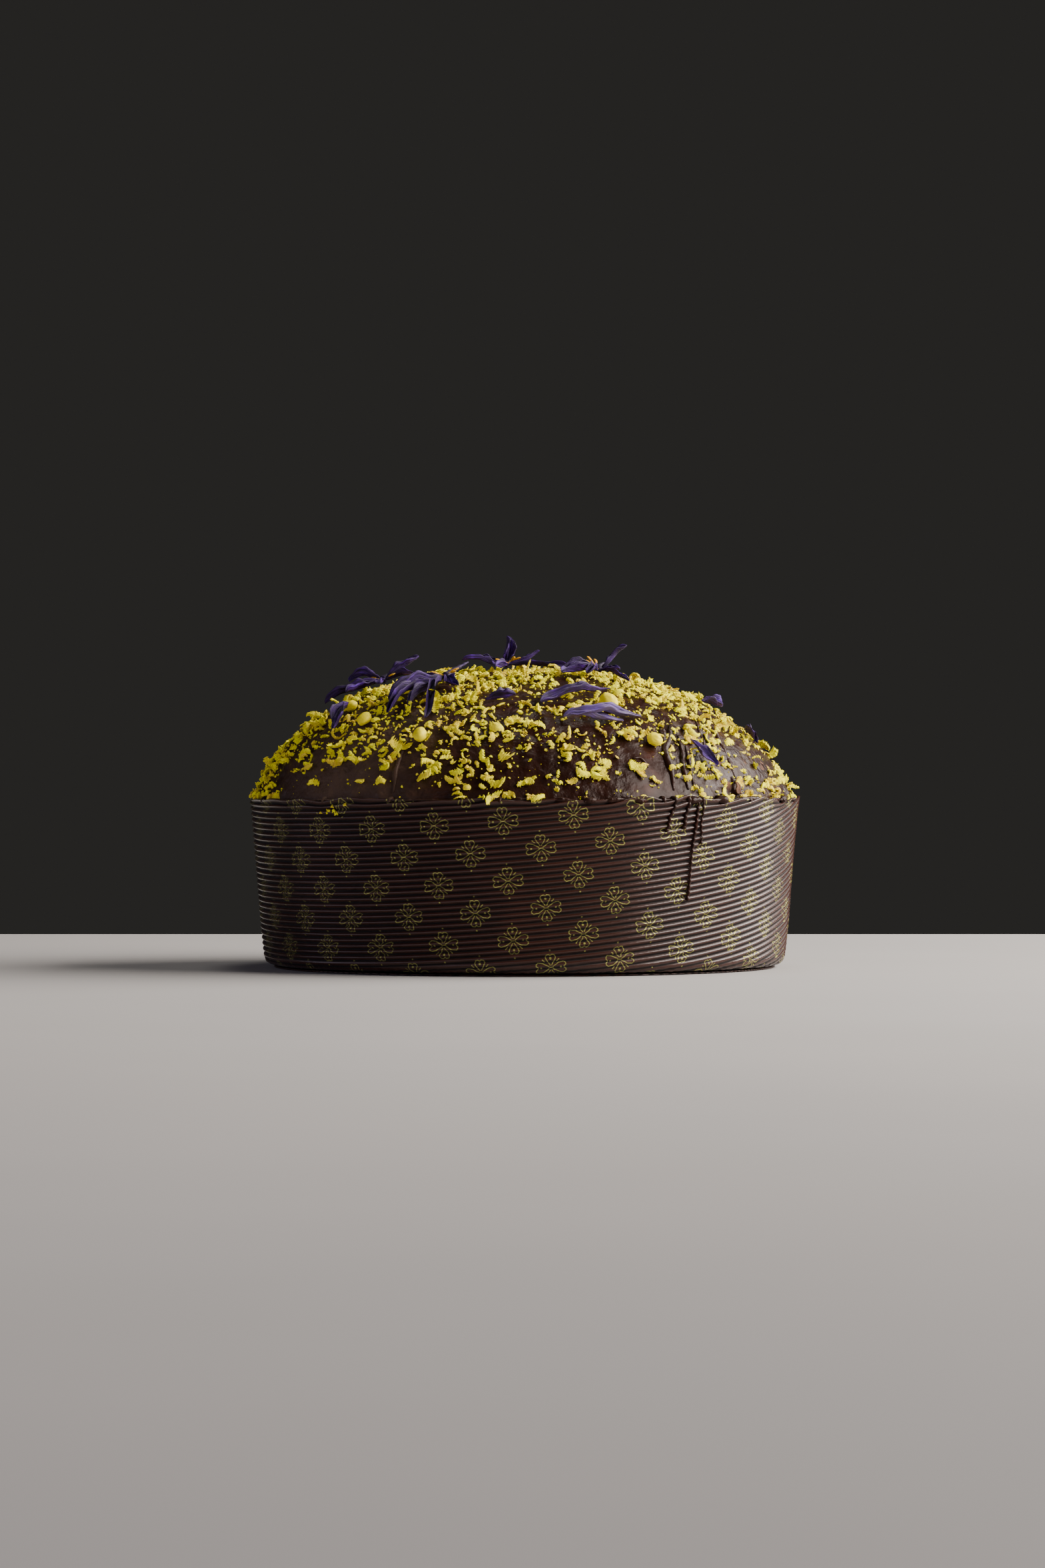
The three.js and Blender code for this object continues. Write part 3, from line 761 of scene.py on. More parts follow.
def cover(points):
    """Share of the glaze hidden by shavings, 0 to 1: full over the top, thinning to the rim, with
    bare patches, and denser at the left."""
    x, y, z = np.moveaxis(points, -1, 0)
    front = np.degrees(np.arctan2(x, -y))
    high = smoothstep(86, 116, z)
    left = 0.6 * smoothstep(-60, -72, front) * smoothstep(-150, -120, front)
    share = 0.26 + 0.27 * smoothstep(76, 92, z) + 0.5 * high + left
    bare = smoothstep(-74, -56, front) * smoothstep(-28, -36, front) * smoothstep(84.5, 79, z)
    share = share - 1.2 * bare
    for place, reach, change in COVER_CHANGES:
        share = share + change * near(points, place, reach)
    return np.clip(share * (1 + 0.28 * waves(points, 9, 81)), 0.02, 1)


def clear_of_tepals(place, dome):
    """True for plan places that no lying tepal covers. A tepal's shadow is taken as a strip from
    its foot along its heading, as wide as its fold leaves it."""
    rows = [(*flower["at"], *tepal[:4]) for flower in FLOWERS for tepal in flower["tepals"]]
    rows = np.array(rows + [tepal[:6] for tepal in LOOSE_TEPALS], float)
    rows = rows[rows[:, 5] < LYING_LIFT]
    start, axes = dome.frames(rows[:, 0], rows[:, 1], np.radians(rows[:, 2]))
    run = (axes[:, 0] * rows[:, 3:4])[:, :2]
    away = place[:, None] - start[None, :, :2]
    share = np.clip((away * run).sum(-1) / (run**2).sum(-1), 0.05, 0.95)
    gap = np.linalg.norm(away - share[..., None] * run, axis=-1)
    return (gap > 0.13 * rows[:, 4]).all(axis=1)


def scatter(rng, dome, count, sparse=0.0):
    """Plan places spread over the dome by area, kept with the chance that cover gives, clear of the
    tepals. sparse adds an even share everywhere."""
    found = np.zeros((0, 2))
    while len(found) < count:
        azimuth = rng.uniform(0, TURN, 4 * count)
        distance = rng.uniform(0, dome.distances[-1] - 2.0, 4 * count)
        points = dome.at(distance, azimuth)
        radius = np.hypot(points[:, 0], points[:, 1])
        chance = (cover(points) * (1 - sparse) + sparse) * radius / dome.radius
        kept = points[rng.random(4 * count) < chance, :2]
        found = np.concatenate([found, kept[clear_of_tepals(kept, dome)]])
    return found[:count]


def tinted(shapes, faces, tint):
    """One shell of many equal bodies, with each body's tint as a point value."""
    count, each = shapes.shape[:2]
    return shapes.reshape(-1, 3), [repeat_faces(faces, count, each)], {"tint": np.repeat(tint, each)}


def build_shavings(look, glaze_look):
    """The scattered shavings in three sizes, the large ones at the places of the CAD shavings, one
    rolled to a ring, and the chips that stuck to the case."""
    dome = Dome(glaze_look)
    rng = np.random.default_rng(look.seed)
    material = shaved_yellow_chocolate(look)
    third = look.middling // 3
    # Name, number, mean length and width in mm, rows, columns, and the share spread evenly.
    kinds = (("large", look.large, 5.6, 1.95, 16, 5, 0.0), ("middling_1", third, 4.0, 1.7, 12, 5, 0.02),
             ("middling_2", third, 3.4, 1.5, 10, 5, 0.02), ("middling_3", third, 2.8, 1.35, 10, 5, 0.02),
             ("small", look.small, 1.8, 1.0, 6, 4, 0.1))
    for name, count, mean_length, mean_width, rows, columns, sparse in kinds:
        place = scatter(rng, dome, count, sparse)
        # Shavings come in clumps: every third one lies close to the one before it.
        close = np.arange(count) % 3 == 2
        place[close] = np.roll(place, 1, axis=0)[close] + rng.normal(0, 1.4, (close.sum(), 2))
        place = dome.held(place)
        size = rng.lognormal(0, 0.24, count)
        length = mean_length * size
        width = mean_width * size * rng.uniform(0.65, 1.3, count)
        curl = rng.uniform(0.25, 1, count) ** 1.5 * 3.6
        thickness = np.minimum(rng.uniform(0.45, 0.95, count), 0.45 * width)
        points, faces = shaving_shapes(rng, length, width, curl, rows, columns, thickness)
        density = cover(dome.frames(*place.T, np.zeros(count))[0])
        height = rng.uniform(-0.7, 0.0, count) - 0.8 * density**2
        points = place_shapes(points, rng, dome, *place.T, 0.5, height)
        add_piece(f"shavings_{name}", [tinted(points, faces, rng.random(count))], material,
                  smooth_angle=20)

    nodes = [node for node in NODES if node.startswith("shaving_")]
    shells = [clump(dome, node, number) for number, node in enumerate(nodes)]
    add_piece("large_shavings", shells, material, nodes, smooth_angle=20)
    ring_curl(dome, material)
    stuck_chips(material)


def clump(dome, node, number):
    """What stands in for one CAD shaving, at its place: two or three shavings, each 0.5 to 0.72 of
    its box's diagonal long."""
    low, high = box_mm(node)
    rng = np.random.default_rng(900 + number)
    parts = 2 + number % 2
    length = np.linalg.norm(high - low) * rng.uniform(0.5, 0.72, parts)
    width = length * rng.uniform(0.3, 0.46, parts)
    curl = rng.uniform(0.5, 2.8, parts)
    thickness = rng.uniform(0.6, 0.95, parts)
    points, faces = shaving_shapes(rng, length, width, curl, 24, 7, thickness, 0.6)
    place = dome.held((low + high)[None, :2] / 2 + rng.normal(0, 1.3, (parts, 2)))
    points = place_shapes(points, rng, dome, *place.T, 0.32, rng.uniform(-0.7, 0.1, parts))
    return tinted(points, faces, rng.random(parts))


def ring_curl(dome, material):
    """One shaving rolled to an open ring that lies flat: a flattened tube along an arc, with a
    ragged outside."""
    share = np.linspace(0, 1, 60)
    angle = math.radians(60) + math.radians(290) * share
    local = np.stack([3.1 * np.cos(angle), 2.7 * np.sin(angle), 1.1 + 0.5 * np.sin(2 * angle)], -1)
    taper = np.sqrt(np.clip(np.sin(math.pi * (0.06 + 0.88 * share)), 0.1, 1))
    points, faces = tube(local, (1.15 + 0.14 * waves(local, 1.1, 95)) * taper, 14, 0.8)
    points = dome.seated(65.5, -65.5, 0.0, 0.0, points)
    add_piece("ring_shaving", [(points, faces, {"tint": np.full(len(points), 0.6)})], material,
              smooth_angle=50)


def stuck_chips(material):
    """A few chips that fell down the outside of the case and stuck to its ribs: some in a group at
    the front left, the others anywhere on the back half."""
    rng = np.random.default_rng(77)
    group, others = 9, 7
    count = group + others
    azimuth = np.radians(np.concatenate([rng.normal(-133, 1.6, group), rng.uniform(20, 160, others)]))
    height = np.concatenate([rng.uniform(62, 66.5, group), rng.uniform(20, 66, others)])
    size = rng.uniform(0.9, 2.0, count)
    points, faces = shaving_shapes(rng, size, size * 0.7, rng.uniform(0.4, 2, count), 6, 4, size * 0.3)
    points = points - points.mean(axis=1, keepdims=True)
    wall = RIM_RADIUS - (CASE_HEIGHT - height) * WALL_RUN + 0.1
    place = ring_points(wall, azimuth, height)
    axes = np.stack([ring_points(1.0, azimuth + math.pi / 2, 0.0), ring_points(0.0, azimuth, 1.0),
                     ring_points(1.0, azimuth, 0.0)], 1)
    add_piece("stuck_chips", [tinted(place[:, None] + points @ axes, faces, rng.random(count))], material,
              smooth_angle=20)


def build_crumbs(look, glaze_look):
    """The specks: little lumps, each two rings of points and two poles, roughened point by point."""
    dome = Dome(glaze_look)
    rng = np.random.default_rng(look.seed + 100)
    count, rows, columns = look.specks, 2, 5
    unit, faces = lump(rows, columns)
    faces = np.concatenate([faces[0][:, [0, 1, 2]], faces[0][:, [0, 2, 3]], *faces[1:]])
    scale = 0.26 * rng.lognormal(0, 0.4, (count, 1, 1)) * rng.uniform(0.6, 1.5, (count, 1, 3))
    points = unit[None] * (1 + rng.normal(0, 0.2, (count, len(unit), 1))) * scale
    place = scatter(rng, dome, count, 0.22)
    points = place_shapes(points, rng, dome, *place.T, 1.0, np.full(count, -0.1))
    add_piece("specks", [tinted(points, faces, rng.random(count))], shaved_yellow_chocolate(look),
              smooth_angle=50)


def lump(rows, columns):
    """Points of a unit sphere, in rings from pole to pole, and its faces: quads and two fans."""
    polar = np.linspace(0, math.pi, rows + 2)[1:-1][:, None]
    rings = ring_points(np.sin(polar), full_turn(columns), np.cos(polar))
    return closed_body(rings, (0, 0, 1), (0, 0, -1))


def build_drops(look, glaze_look):
    """The smooth round drops, one for each CAD drop: a flattened sphere with a few dents, its
    radius a function of the direction from its centre."""
    nodes = [node for node in NODES if node.startswith("choc_drop_")]
    unit, faces = lump(22, 34)
    dome = Dome(glaze_look)
    shells = []
    for i, node in enumerate(nodes):
        low, high = box_mm(node)
        centre, radius = (low + high) / 2, (high - low).max() / 2
        size = radius * np.array([1.15, 0.95, 0.8])
        bumps = 1 + 0.06 * waves(unit + i * 5, 1.6, 91) + 0.025 * waves(unit + i * 5, 0.5, 92)
        local = unit * size * bumps[:, None]
        points = dome.seated(centre[0], centre[1], 0.7 * i, 0.75 * radius + 0.4, local)
        shells.append((points, faces, {"tint": np.ones(len(unit))}))
    add_piece("chocolate_drops", shells, shaved_yellow_chocolate(look, smooth=True),
              nodes)


# ---- flowers ----

LYING_LIFT = 25  # degrees: a tepal that lifts less than this lies on the dome
THROAT_LIFT = 2.8  # mm from the glaze to a flower's throat, which lies on shavings
TEPAL_HALF = 0.11  # mm, half of a tepal's thickness
# Loose tepals right of FRONT_RIGHT are painted paler and greyer: partly a faded colour, partly painted light
# from the window at the right.
FRONT_RIGHT = 35  # mm from the axis: the loose tepals beyond it lie lower and are paler

# Tepals are (heading, length, width, lift, bend, twist, fold), in degrees and mm, from the flower's
# throat, and stamens are (heading, lift). The throat, the tube and the tepals' headings are the CAD
# flower's. The other values differ somewhat from the CAD ones.
FLOWERS = [
    {"at": (-56, -10), "tube": (60, 9), "stamens": ((150, 30), (175, 22), (350, 12)), "tepals": (
        (188, 24, 7, 6, -10, 20, 0.7), (206, 17, 6.5, 12, -14, -25, 0.5), (166, 15, 7, 38, -50, 30, 0.5),
        (350, 13, 5, 4, -8, -20, 0.6), (15, 18, 5.5, 20, 6, 35, 0.9), (265, 12, 5, 8, -18, 10, 0.5))},
    {"at": (-31, -42), "tube": (55, 16), "stamens": ((170, 30), (330, 24), (10, 30)), "tepals": (
        (215, 27, 8, 4, -10, 14, 0.6), (228, 35, 8, 2, -20, -20, 0.7), (244, 31, 7, 3, -22, 25, 0.8),
        (257, 40, 7, 2, -26, -25, 0.7), (284, 20, 7, 6, -26, 20, 0.6), (190, 13, 5, 14, 0, 0, 0.7))},
    {"at": (-7, -10), "tube": (100, 9), "stamens": ((300, 34), (352, 30), (226, 26)), "tepals": (
        (184, 18, 4.5, 4, 10, 20, 0.8), (168, 11, 4.5, 16, 8, -20, 0.6), (95, 12, 8, 78, 8, 60, 0.5),
        (10, 15, 3.6, 10, 30, -25, 1.0), (355, 26, 5, 1, -2, 30, 0.8), (250, 12, 6, 5, -16, 20, 0.6))},
    {"at": (29, -30), "tube": (80, 9), "stamens": ((150, 48), (170, 36), (120, 40)), "tepals": (
        (24, 16, 5, 26, 40, 30, 0.9), (203, 17, 6.5, 10, -34, -15, 0.7), (228, 21, 7.5, 5, -22, 15, 0.7),
        (250, 14, 6, 5, -16, 10, 0.7), (312, 18, 3.6, 12, -24, -30, 1.0), (350, 9, 4, 12, 8, 20, 0.8))},
]

# Loose tepals are (x, y, heading, length, width, lift, bend, twist, fold), within about 2 mm of
# the places of the CAD ones.
LOOSE_TEPALS = [
    (33, -57, 221, 35, 7, 3, -6, 12, 0.7),
    (45, -74, 204, 32, 7, 7, -4, -26, 0.6),
    (38, -80.5, 196, 25, 6, 4, 2, 30, 0.6),
    (-15, -75, 8, 12, 7, 8, 0, -30, 0.9),
    (-75, -56, 54, 19, 8, 6, -6, 25, 0.6),
    (71, -15, 15, 9, 7, 18, -14, 30, 0.8),
    (88, -22, 315, 10, 9, 12, -20, 60, 1.0),
    (64.5, -71.5, 335, 13, 6.5, 6, -8, 30, 0.6),
    (-40, 62, 120, 21, 7, 8, 4, -20, 0.6),
    (38, 58, 200, 23, 7, 6, 6, 25, 0.5),
]


def tepal(dome, x, y, heading, height, size, seed):
    """A dried tepal. Its centre line is an arc that starts at the lift angle and turns by the bend.
    It is a strap: a narrow claw that widens, then an even width and a round tip. Across, its two
    halves stand up at the fold angle and curl inwards, with long wrinkles; the edges wave, and the
    whole is twisted along its length. A lying one is draped over the dome: each point stands over
    the plan place it would have on the tangent plane."""
    length, width, lift, bend, twist, fold = size
    lying = lift < LYING_LIFT
    bend = max(bend, -1.7 * lift) if lying else bend
    rows, columns = 52, 23
    u, v = np.meshgrid(np.linspace(0, 1, rows), np.linspace(-1, 1, columns), indexing="ij")
    rng = np.random.default_rng(seed)
    a, b, c, d = rng.uniform(0, TURN, 4)
    angle = math.radians(lift) + math.radians(bend) * u + 0.16 * np.sin(u * 7 + a) * smoothstep(0, 0.3, u)
    step = length / (rows - 1)
    centre_x = np.cumsum(np.cos(angle), axis=0) * step - np.cos(angle[:1]) * step
    centre_z = np.cumsum(np.sin(angle), axis=0) * step - np.sin(angle[:1]) * step
    tip = np.sqrt(np.clip(1 - (np.clip(u - 0.5, 0, 1) / 0.5) ** 2.6, 0.0004, 1))
    half = width / 2 * (0.2 + 0.8 * smoothstep(0, 0.5, u)) * tip
    half = half * (1 + (0.09 * np.sin(u * 9 + b) + 0.04 * np.sin(u * 23 + c)) * np.abs(v) ** 3)
    stand = fold * (0.85 + 0.35 * np.sin(5 * u + a + np.sign(v) * 0.6)) + 0.45 * np.abs(v)
    across = half * v * np.cos(stand) + 0.14 * width * np.sin(u * 5 + c) * u
    wrinkles = 0.06 * np.cos(v * 8 + 2.5 * np.sin(3 * u + d) + a) + 0.035 * np.cos(v * 19 + 4 * u + c)
    ruffle = 0.16 * np.sin(u * 13 + d + 2 * v) * np.abs(v) ** 3 + 0.04 * np.sin(u * 37 + b) * v**4
    rise = half * (np.abs(v) * np.sin(stand) + ruffle) + width * wrinkles * smoothstep(0, 0.2, u) * tip
    spin = math.radians(twist) * u**1.4
    side = across * np.cos(spin) - rise * np.sin(spin)
    lifted = across * np.sin(spin) + rise * np.cos(spin)
    middle = np.stack([centre_x - lifted * np.sin(angle), side, centre_z + lifted * np.cos(angle)], -1)
    points, faces = thin_sheet(middle, np.full(u.shape, TEPAL_HALF))
    origin, axes = dome.frames(x, y, math.radians(heading))
    height = height + glaze_relief(origin)
    values = np.stack([u, v], -1)
    values = np.concatenate([values.reshape(-1, 2), values[1:-1, 1:-1].reshape(-1, 2)])
    placed = origin + axes[2] * height + points @ axes
    if lying:
        x, y, _ = (origin + points[:, :2] @ axes[:2]).T
        z = dome.height(np.hypot(x, y))
        foot = np.stack([x, y, z], -1)
        over = height + glaze_relief(foot) - glaze_relief(origin) + points[:, 2]
        placed = foot + dome.normal(x, y, z) * np.maximum(over, 0.2)[:, None]
    shade = np.full(len(placed), 0.6 * rng.random())
    return placed, [faces], {"along": values[:, 0], "vein": values[:, 1], "shade": shade}


def build_flowers(look, glaze_look):
    """Each flower: six tepals from one throat, its slender tube, and three orange stamens whose
    radius swells to the anther."""
    dome = Dome(glaze_look)
    petal = dried_violet_petal(look)
    orange = dried_stamen()
    for number, flower in enumerate(FLOWERS, 1):
        x, y = flower["at"]
        shells = [tepal(dome, x, y, heading, THROAT_LIFT, size, 7 * number + i)
                  for i, (heading, *size) in enumerate(flower["tepals"])]
        heading, length = flower["tube"]
        share = np.linspace(0, 1, 30)
        local = np.stack([length * share, 0.5 * np.sin(4 * share), 0.5 + 2.0 * share], -1)
        radii = 1.25 * (1 - share) ** 1.5 + 0.42 + 0.12 * np.sin(share * 31)
        points, faces = tube(dome.seated(x, y, math.radians(heading), THROAT_LIFT, local), radii, 10)
        none = np.zeros(len(points))
        shells.append((points, faces, {"along": none, "vein": none, "shade": none + 0.2}))
        add_piece(f"crocus_{number}", shells, petal, [f"crocus_{number}_tepals"])

        threads = []
        for i, (heading, lift) in enumerate(flower["stamens"]):
            reach = 5.6 * share
            rise = np.tan(math.radians(lift)) * reach * (1 - 0.35 * share) + 0.8
            local = np.stack([reach, 0.9 * np.sin(3 * share + i), rise], -1)
            radii = 0.2 + 0.34 * smoothstep(0.35, 0.6, share) * (1 - 0.7 * smoothstep(0.85, 1, share))
            radii = radii * (1 + 0.18 * np.sin(share * 60 + i))
            path = dome.seated(x, y, math.radians(heading), THROAT_LIFT, local)
            threads.append(tube(path, radii, 8, 0.6))
        add_piece(f"crocus_{number}_threads", threads, orange, [f"crocus_{number}_stamens"])


def build_loose_tepals(look, glaze_look):
    """The loose tepals, each with its own folds, at the places of the CAD tepals."""
    dome = Dome(glaze_look)
    petal = dried_violet_petal(look)
    for number, (x, y, heading, *size) in enumerate(LOOSE_TEPALS, 1):
        # Tepals at the right get a higher shade value, which the material paints paler and greyer, partly as
        # painted light from the window.
        pale = x > FRONT_RIGHT
        shell = tepal(dome, x, y, heading, 1.9 - 0.6 * pale, size, 40 + number)
        shell[2]["along"] = 0.3 + 0.7 * shell[2]["along"]
        shell[2]["shade"] = np.full(len(shell[0]), 0.2 + 0.5 * pale + 0.12 * (pale and x < 50))
        add_piece(f"fallen_tepal_{number}", [shell], petal, [f"loose_tepal_{number}"])


# ---- materials ----

# Places of the colour sockets and the vector sockets of a Mix node.
MIX_COLOURS, MIX_COLOUR_RESULT = (6, 7), 2
MIX_VECTORS, MIX_VECTOR_RESULT = (4, 5), 1
MEASURES = ("LENGTH", "DOT_PRODUCT", "DISTANCE")


def linear(colour):
    """An sRGB hex colour, or three sRGB numbers, as linear RGBA."""
    if isinstance(colour, str):
        colour = [int(colour[i:i + 2], 16) / 255 for i in (1, 3, 5)]
    return (*[c / 12.92 if c <= 0.04045 else ((c + 0.055) / 1.055) ** 2.4 for c in colour], 1.0)


def set_inputs(tree, node, inputs):
    """Link each input that is given a socket, and set the others. inputs are (name or number, value)
    pairs."""
    for key, value in dict(inputs).items():
        if isinstance(value, bpy.types.NodeSocket):
            tree.links.new(value, node.inputs[key])
        else:
            node.inputs[key].default_value = value


def add_node(tree, kind, inputs=(), **settings):
    """Add a shader node of a kind, with its settings and inputs."""
    node = tree.nodes.new(f"ShaderNode{kind}")
    for key, value in settings.items():
        setattr(node, key, value)
    set_inputs(tree, node, inputs)
    return node


def new_material(name):
    """An empty node material, its tree, and its Principled shader joined to the output."""
    material = bpy.data.materials.new(name)
    material.use_nodes = True
    tree = material.node_tree
    tree.nodes.clear()
    shader = add_node(tree, "BsdfPrincipled")
    add_node(tree, "OutputMaterial", {"Surface": shader.outputs[0]})
    return material, tree, shader


def ramp(tree, factor, *stops):
    """A colour ramp: stops are (position, sRGB colour)."""
    node = add_node(tree, "ValToRGB", {"Fac": factor})
    elements = node.color_ramp.elements
    while len(elements) < len(stops):
        elements.new(0.5)
    for element, (position, colour) in zip(elements, stops):
        element.position = position
        element.color = linear(colour)
    return node.outputs["Color"]


def noise(tree, size_mm, detail=3.0, roughness=0.5):
    """Noise with features of a size in mm, on Object coordinates."""
    place = add_node(tree, "TexCoord").outputs["Object"]
    return add_node(tree, "TexNoise", {"Vector": place, "Scale": 1 / (size_mm * MM), "Detail": detail,
                                       "Roughness": roughness}).outputs["Fac"]


def attribute(tree, name):
    """A point value of the mesh."""
    return add_node(tree, "Attribute", attribute_name=name).outputs["Fac"]


def math_node(tree, operation, *values, clamp=False):
    """A sum with numbers."""
    return add_node(tree, "Math", enumerate(values), operation=operation, use_clamp=clamp).outputs[0]


def vector_math(tree, operation, *values, scale=1.0):
    """A sum with vectors. Its result is a number for a measure, and else a vector."""
    inputs = dict(enumerate(values))
    if operation == "SCALE":
        inputs["Scale"] = scale
    node = add_node(tree, "VectorMath", inputs, operation=operation)
    return node.outputs["Value" if operation in MEASURES else "Vector"]


def map_range(tree, value, low, high, to_low=0.0, to_high=1.0, shape="LINEAR"):
    """A value carried from one range to another, and held inside it."""
    return add_node(tree, "MapRange", {"Value": value, "From Min": low, "From Max": high, "To Min": to_low,
                                       "To Max": to_high}, interpolation_type=shape).outputs[0]


def mix(tree, factor, *colours):
    """The first colour, covered by the second one as far as the factor says."""
    sockets = [c if isinstance(c, bpy.types.NodeSocket) else linear(c) for c in colours]
    inputs = {0: factor, **dict(zip(MIX_COLOURS, sockets))}
    return add_node(tree, "Mix", inputs, data_type="RGBA").outputs[MIX_COLOUR_RESULT]


def bump(tree, strength, depth_mm, height, **more):
    """A normal bent by a height of 0 to 1 that stands for a depth in mm."""
    inputs = {"Strength": strength, "Distance": depth_mm * MM, "Height": height, **more}
    return add_node(tree, "Bump", inputs).outputs[0]


# One quarter of the printed flower, in mm from its centre: strokes from point to point, along the
# ribs and across them, and dots. It is mirrored both ways.
PRINT_STROKES = [
    ((0.3, 1.0), (1.5, 2.9)), ((1.5, 2.9), (2.0, 4.0)), ((2.0, 4.0), (1.5, 4.95)),
    ((1.5, 4.95), (0.6, 5.1)), ((0.6, 5.1), (0.0, 4.6)), ((0.8, 0.4), (3.0, 1.75)),
    ((3.0, 1.75), (4.9, 2.1)), ((4.9, 2.1), (5.7, 1.5)), ((5.7, 1.5), (5.7, 0.8)),
    ((5.7, 0.8), (5.0, 0.25)), ((2.4, 2.4), (3.2, 3.2)), ((0.0, 0.0), (0.8, 0.0)),
]
PRINT_DOTS = [((0.0, 3.6), 0.42), ((3.8, 0.0), 0.34), ((0.0, 6.6), 0.3)]
PRINT_LINE = 0.145  # half the width of a printed line
PRINT_ORIGIN = (98.8, 1250.7, 0)  # puts one flower a little left of the front, near the rim


def printed_flowers(tree, flat, period):
    """Mask of the gold print on flat sheet coordinates in mm. The sheet is folded into a quarter
    cell by two ping-pongs, the nearer of the two flowers there is taken, and the distance to its
    strokes and dots is turned into a soft-edged line."""
    parts = add_node(tree, "SeparateXYZ", {0: flat})
    folded = [math_node(tree, "PINGPONG", parts.outputs[i], period[i] / 2) for i in (0, 1)]
    own = add_node(tree, "CombineXYZ", {"X": folded[0], "Y": folded[1]}).outputs[0]
    other = vector_math(tree, "SUBTRACT", (period[0] / 2, period[1] / 2, 0), own)
    nearer = math_node(tree, "LESS_THAN", vector_math(tree, "LENGTH", other),
                       vector_math(tree, "LENGTH", own))
    point = add_node(tree, "Mix", {0: nearer, **dict(zip(MIX_VECTORS, (own, other)))},
                     data_type="VECTOR").outputs[MIX_VECTOR_RESULT]
    gaps = []
    for start, end in PRINT_STROKES:
        run = (end[0] - start[0], end[1] - start[1], 0)
        size = run[0] ** 2 + run[1] ** 2
        away = vector_math(tree, "SUBTRACT", point, (*start, 0))
        share = vector_math(tree, "DOT_PRODUCT", away, [c / size for c in run])
        share = math_node(tree, "ADD", share, 0.0, clamp=True)
        gaps.append(vector_math(tree, "DISTANCE", away, vector_math(tree, "SCALE", run, scale=share)))
    for centre, radius in PRINT_DOTS:
        gap = vector_math(tree, "DISTANCE", point, (*centre, 0))
        gaps.append(math_node(tree, "SUBTRACT", gap, radius - PRINT_LINE))
    nearest = gaps[0]
    for gap in gaps[1:]:
        nearest = math_node(tree, "MINIMUM", nearest, gap)
    return map_range(tree, nearest, PRINT_LINE - 0.06, PRINT_LINE + 0.08, 1.0, 0.0, "SMOOTHSTEP")


def corrugated_baking_paper(look, sheet, printed=True):
    """Greaseproof paper, dyed dark brown, fluted, and printed with gold ink. To the eye: satin
    ridges with soft mauve light along them, their tops painted paler as wear and as a painted sheen,
    grooves painted dark as shade, cloudy fibre, and gold lines painted dimmer in the grooves as shade."""
    material, tree, shader = new_material("corrugated_baking_paper" if printed else "plain_baking_paper")
    uv = add_node(tree, "UVMap", uv_map="sheet").outputs[0]
    flat = vector_math(tree, "SCALE", uv, scale=1 / MM)
    across = add_node(tree, "SeparateXYZ", {0: flat}).outputs["Y"]
    phase = math_node(tree, "MULTIPLY", across, math.pi / sheet.pitch)
    rib = math_node(tree, "ABSOLUTE", math_node(tree, "COSINE", phase))
    cloud = noise(tree, 16, 4)
    paper = np.array(look.paper)
    colour = ramp(tree, cloud, (0.3, paper * 0.62), (0.55, paper), (0.75, paper * 1.22))
    # Ridge tops painted paler and greyer mauve: part wear, part a painted sheen along the ridges.
    wear_and_painted_sheen = map_range(tree, rib, 0.45, 0.95, 0.0, 0.5, "SMOOTHSTEP")
    colour = mix(tree, wear_and_painted_sheen, colour, paper * [1.6, 1.75, 1.9])
    # Grooves painted dark, down to a fifth of the paper colour, as painted shade in the hollows.
    ridge = map_range(tree, rib, 0.1, 0.75, shape="SMOOTHSTEP")
    colour = mix(tree, ridge, paper * 0.2, colour)
    if printed:
        shifted = vector_math(tree, "SUBTRACT", flat, PRINT_ORIGIN)
        jitter = add_node(tree, "TexNoise", {"Vector": flat, "Scale": 0.6, "Detail": 1.0}).outputs["Color"]
        centred = vector_math(tree, "SUBTRACT", jitter, (0.5, 0.5, 0.5))
        place = vector_math(tree, "ADD", shifted, vector_math(tree, "SCALE", centred, scale=0.35))
        mask = printed_flowers(tree, place, [value / MM for value in look.print_period])
        # The gold is painted down to half in the grooves, as painted shade there.
        ink_dimmed_in_groove_shade = map_range(tree, rib, 0.15, 0.6, 0.5)
        grain = map_range(tree, noise(tree, 0.7, 2), 0.35, 0.6, 0.5)
        mask = math_node(tree, "MULTIPLY", math_node(tree, "MULTIPLY", mask, ink_dimmed_in_groove_shade), grain)
        colour = mix(tree, mask, colour, look.gold)
        set_inputs(tree, shader, {"Metallic": math_node(tree, "MULTIPLY", mask, 0.55)})
    rough = math_node(tree, "ADD", map_range(tree, cloud, 0.0, 1.0, 0.17, 0.3),
                      map_range(tree, rib, 0.3, 0.85, 0.7, 0.0))
    set_inputs(tree, shader, {"Base Color": colour, "Roughness": rough, "Specular IOR Level": 0.42,
                              "Normal": bump(tree, 0.25, 0.12, noise(tree, 0.8, 3))})
    return material


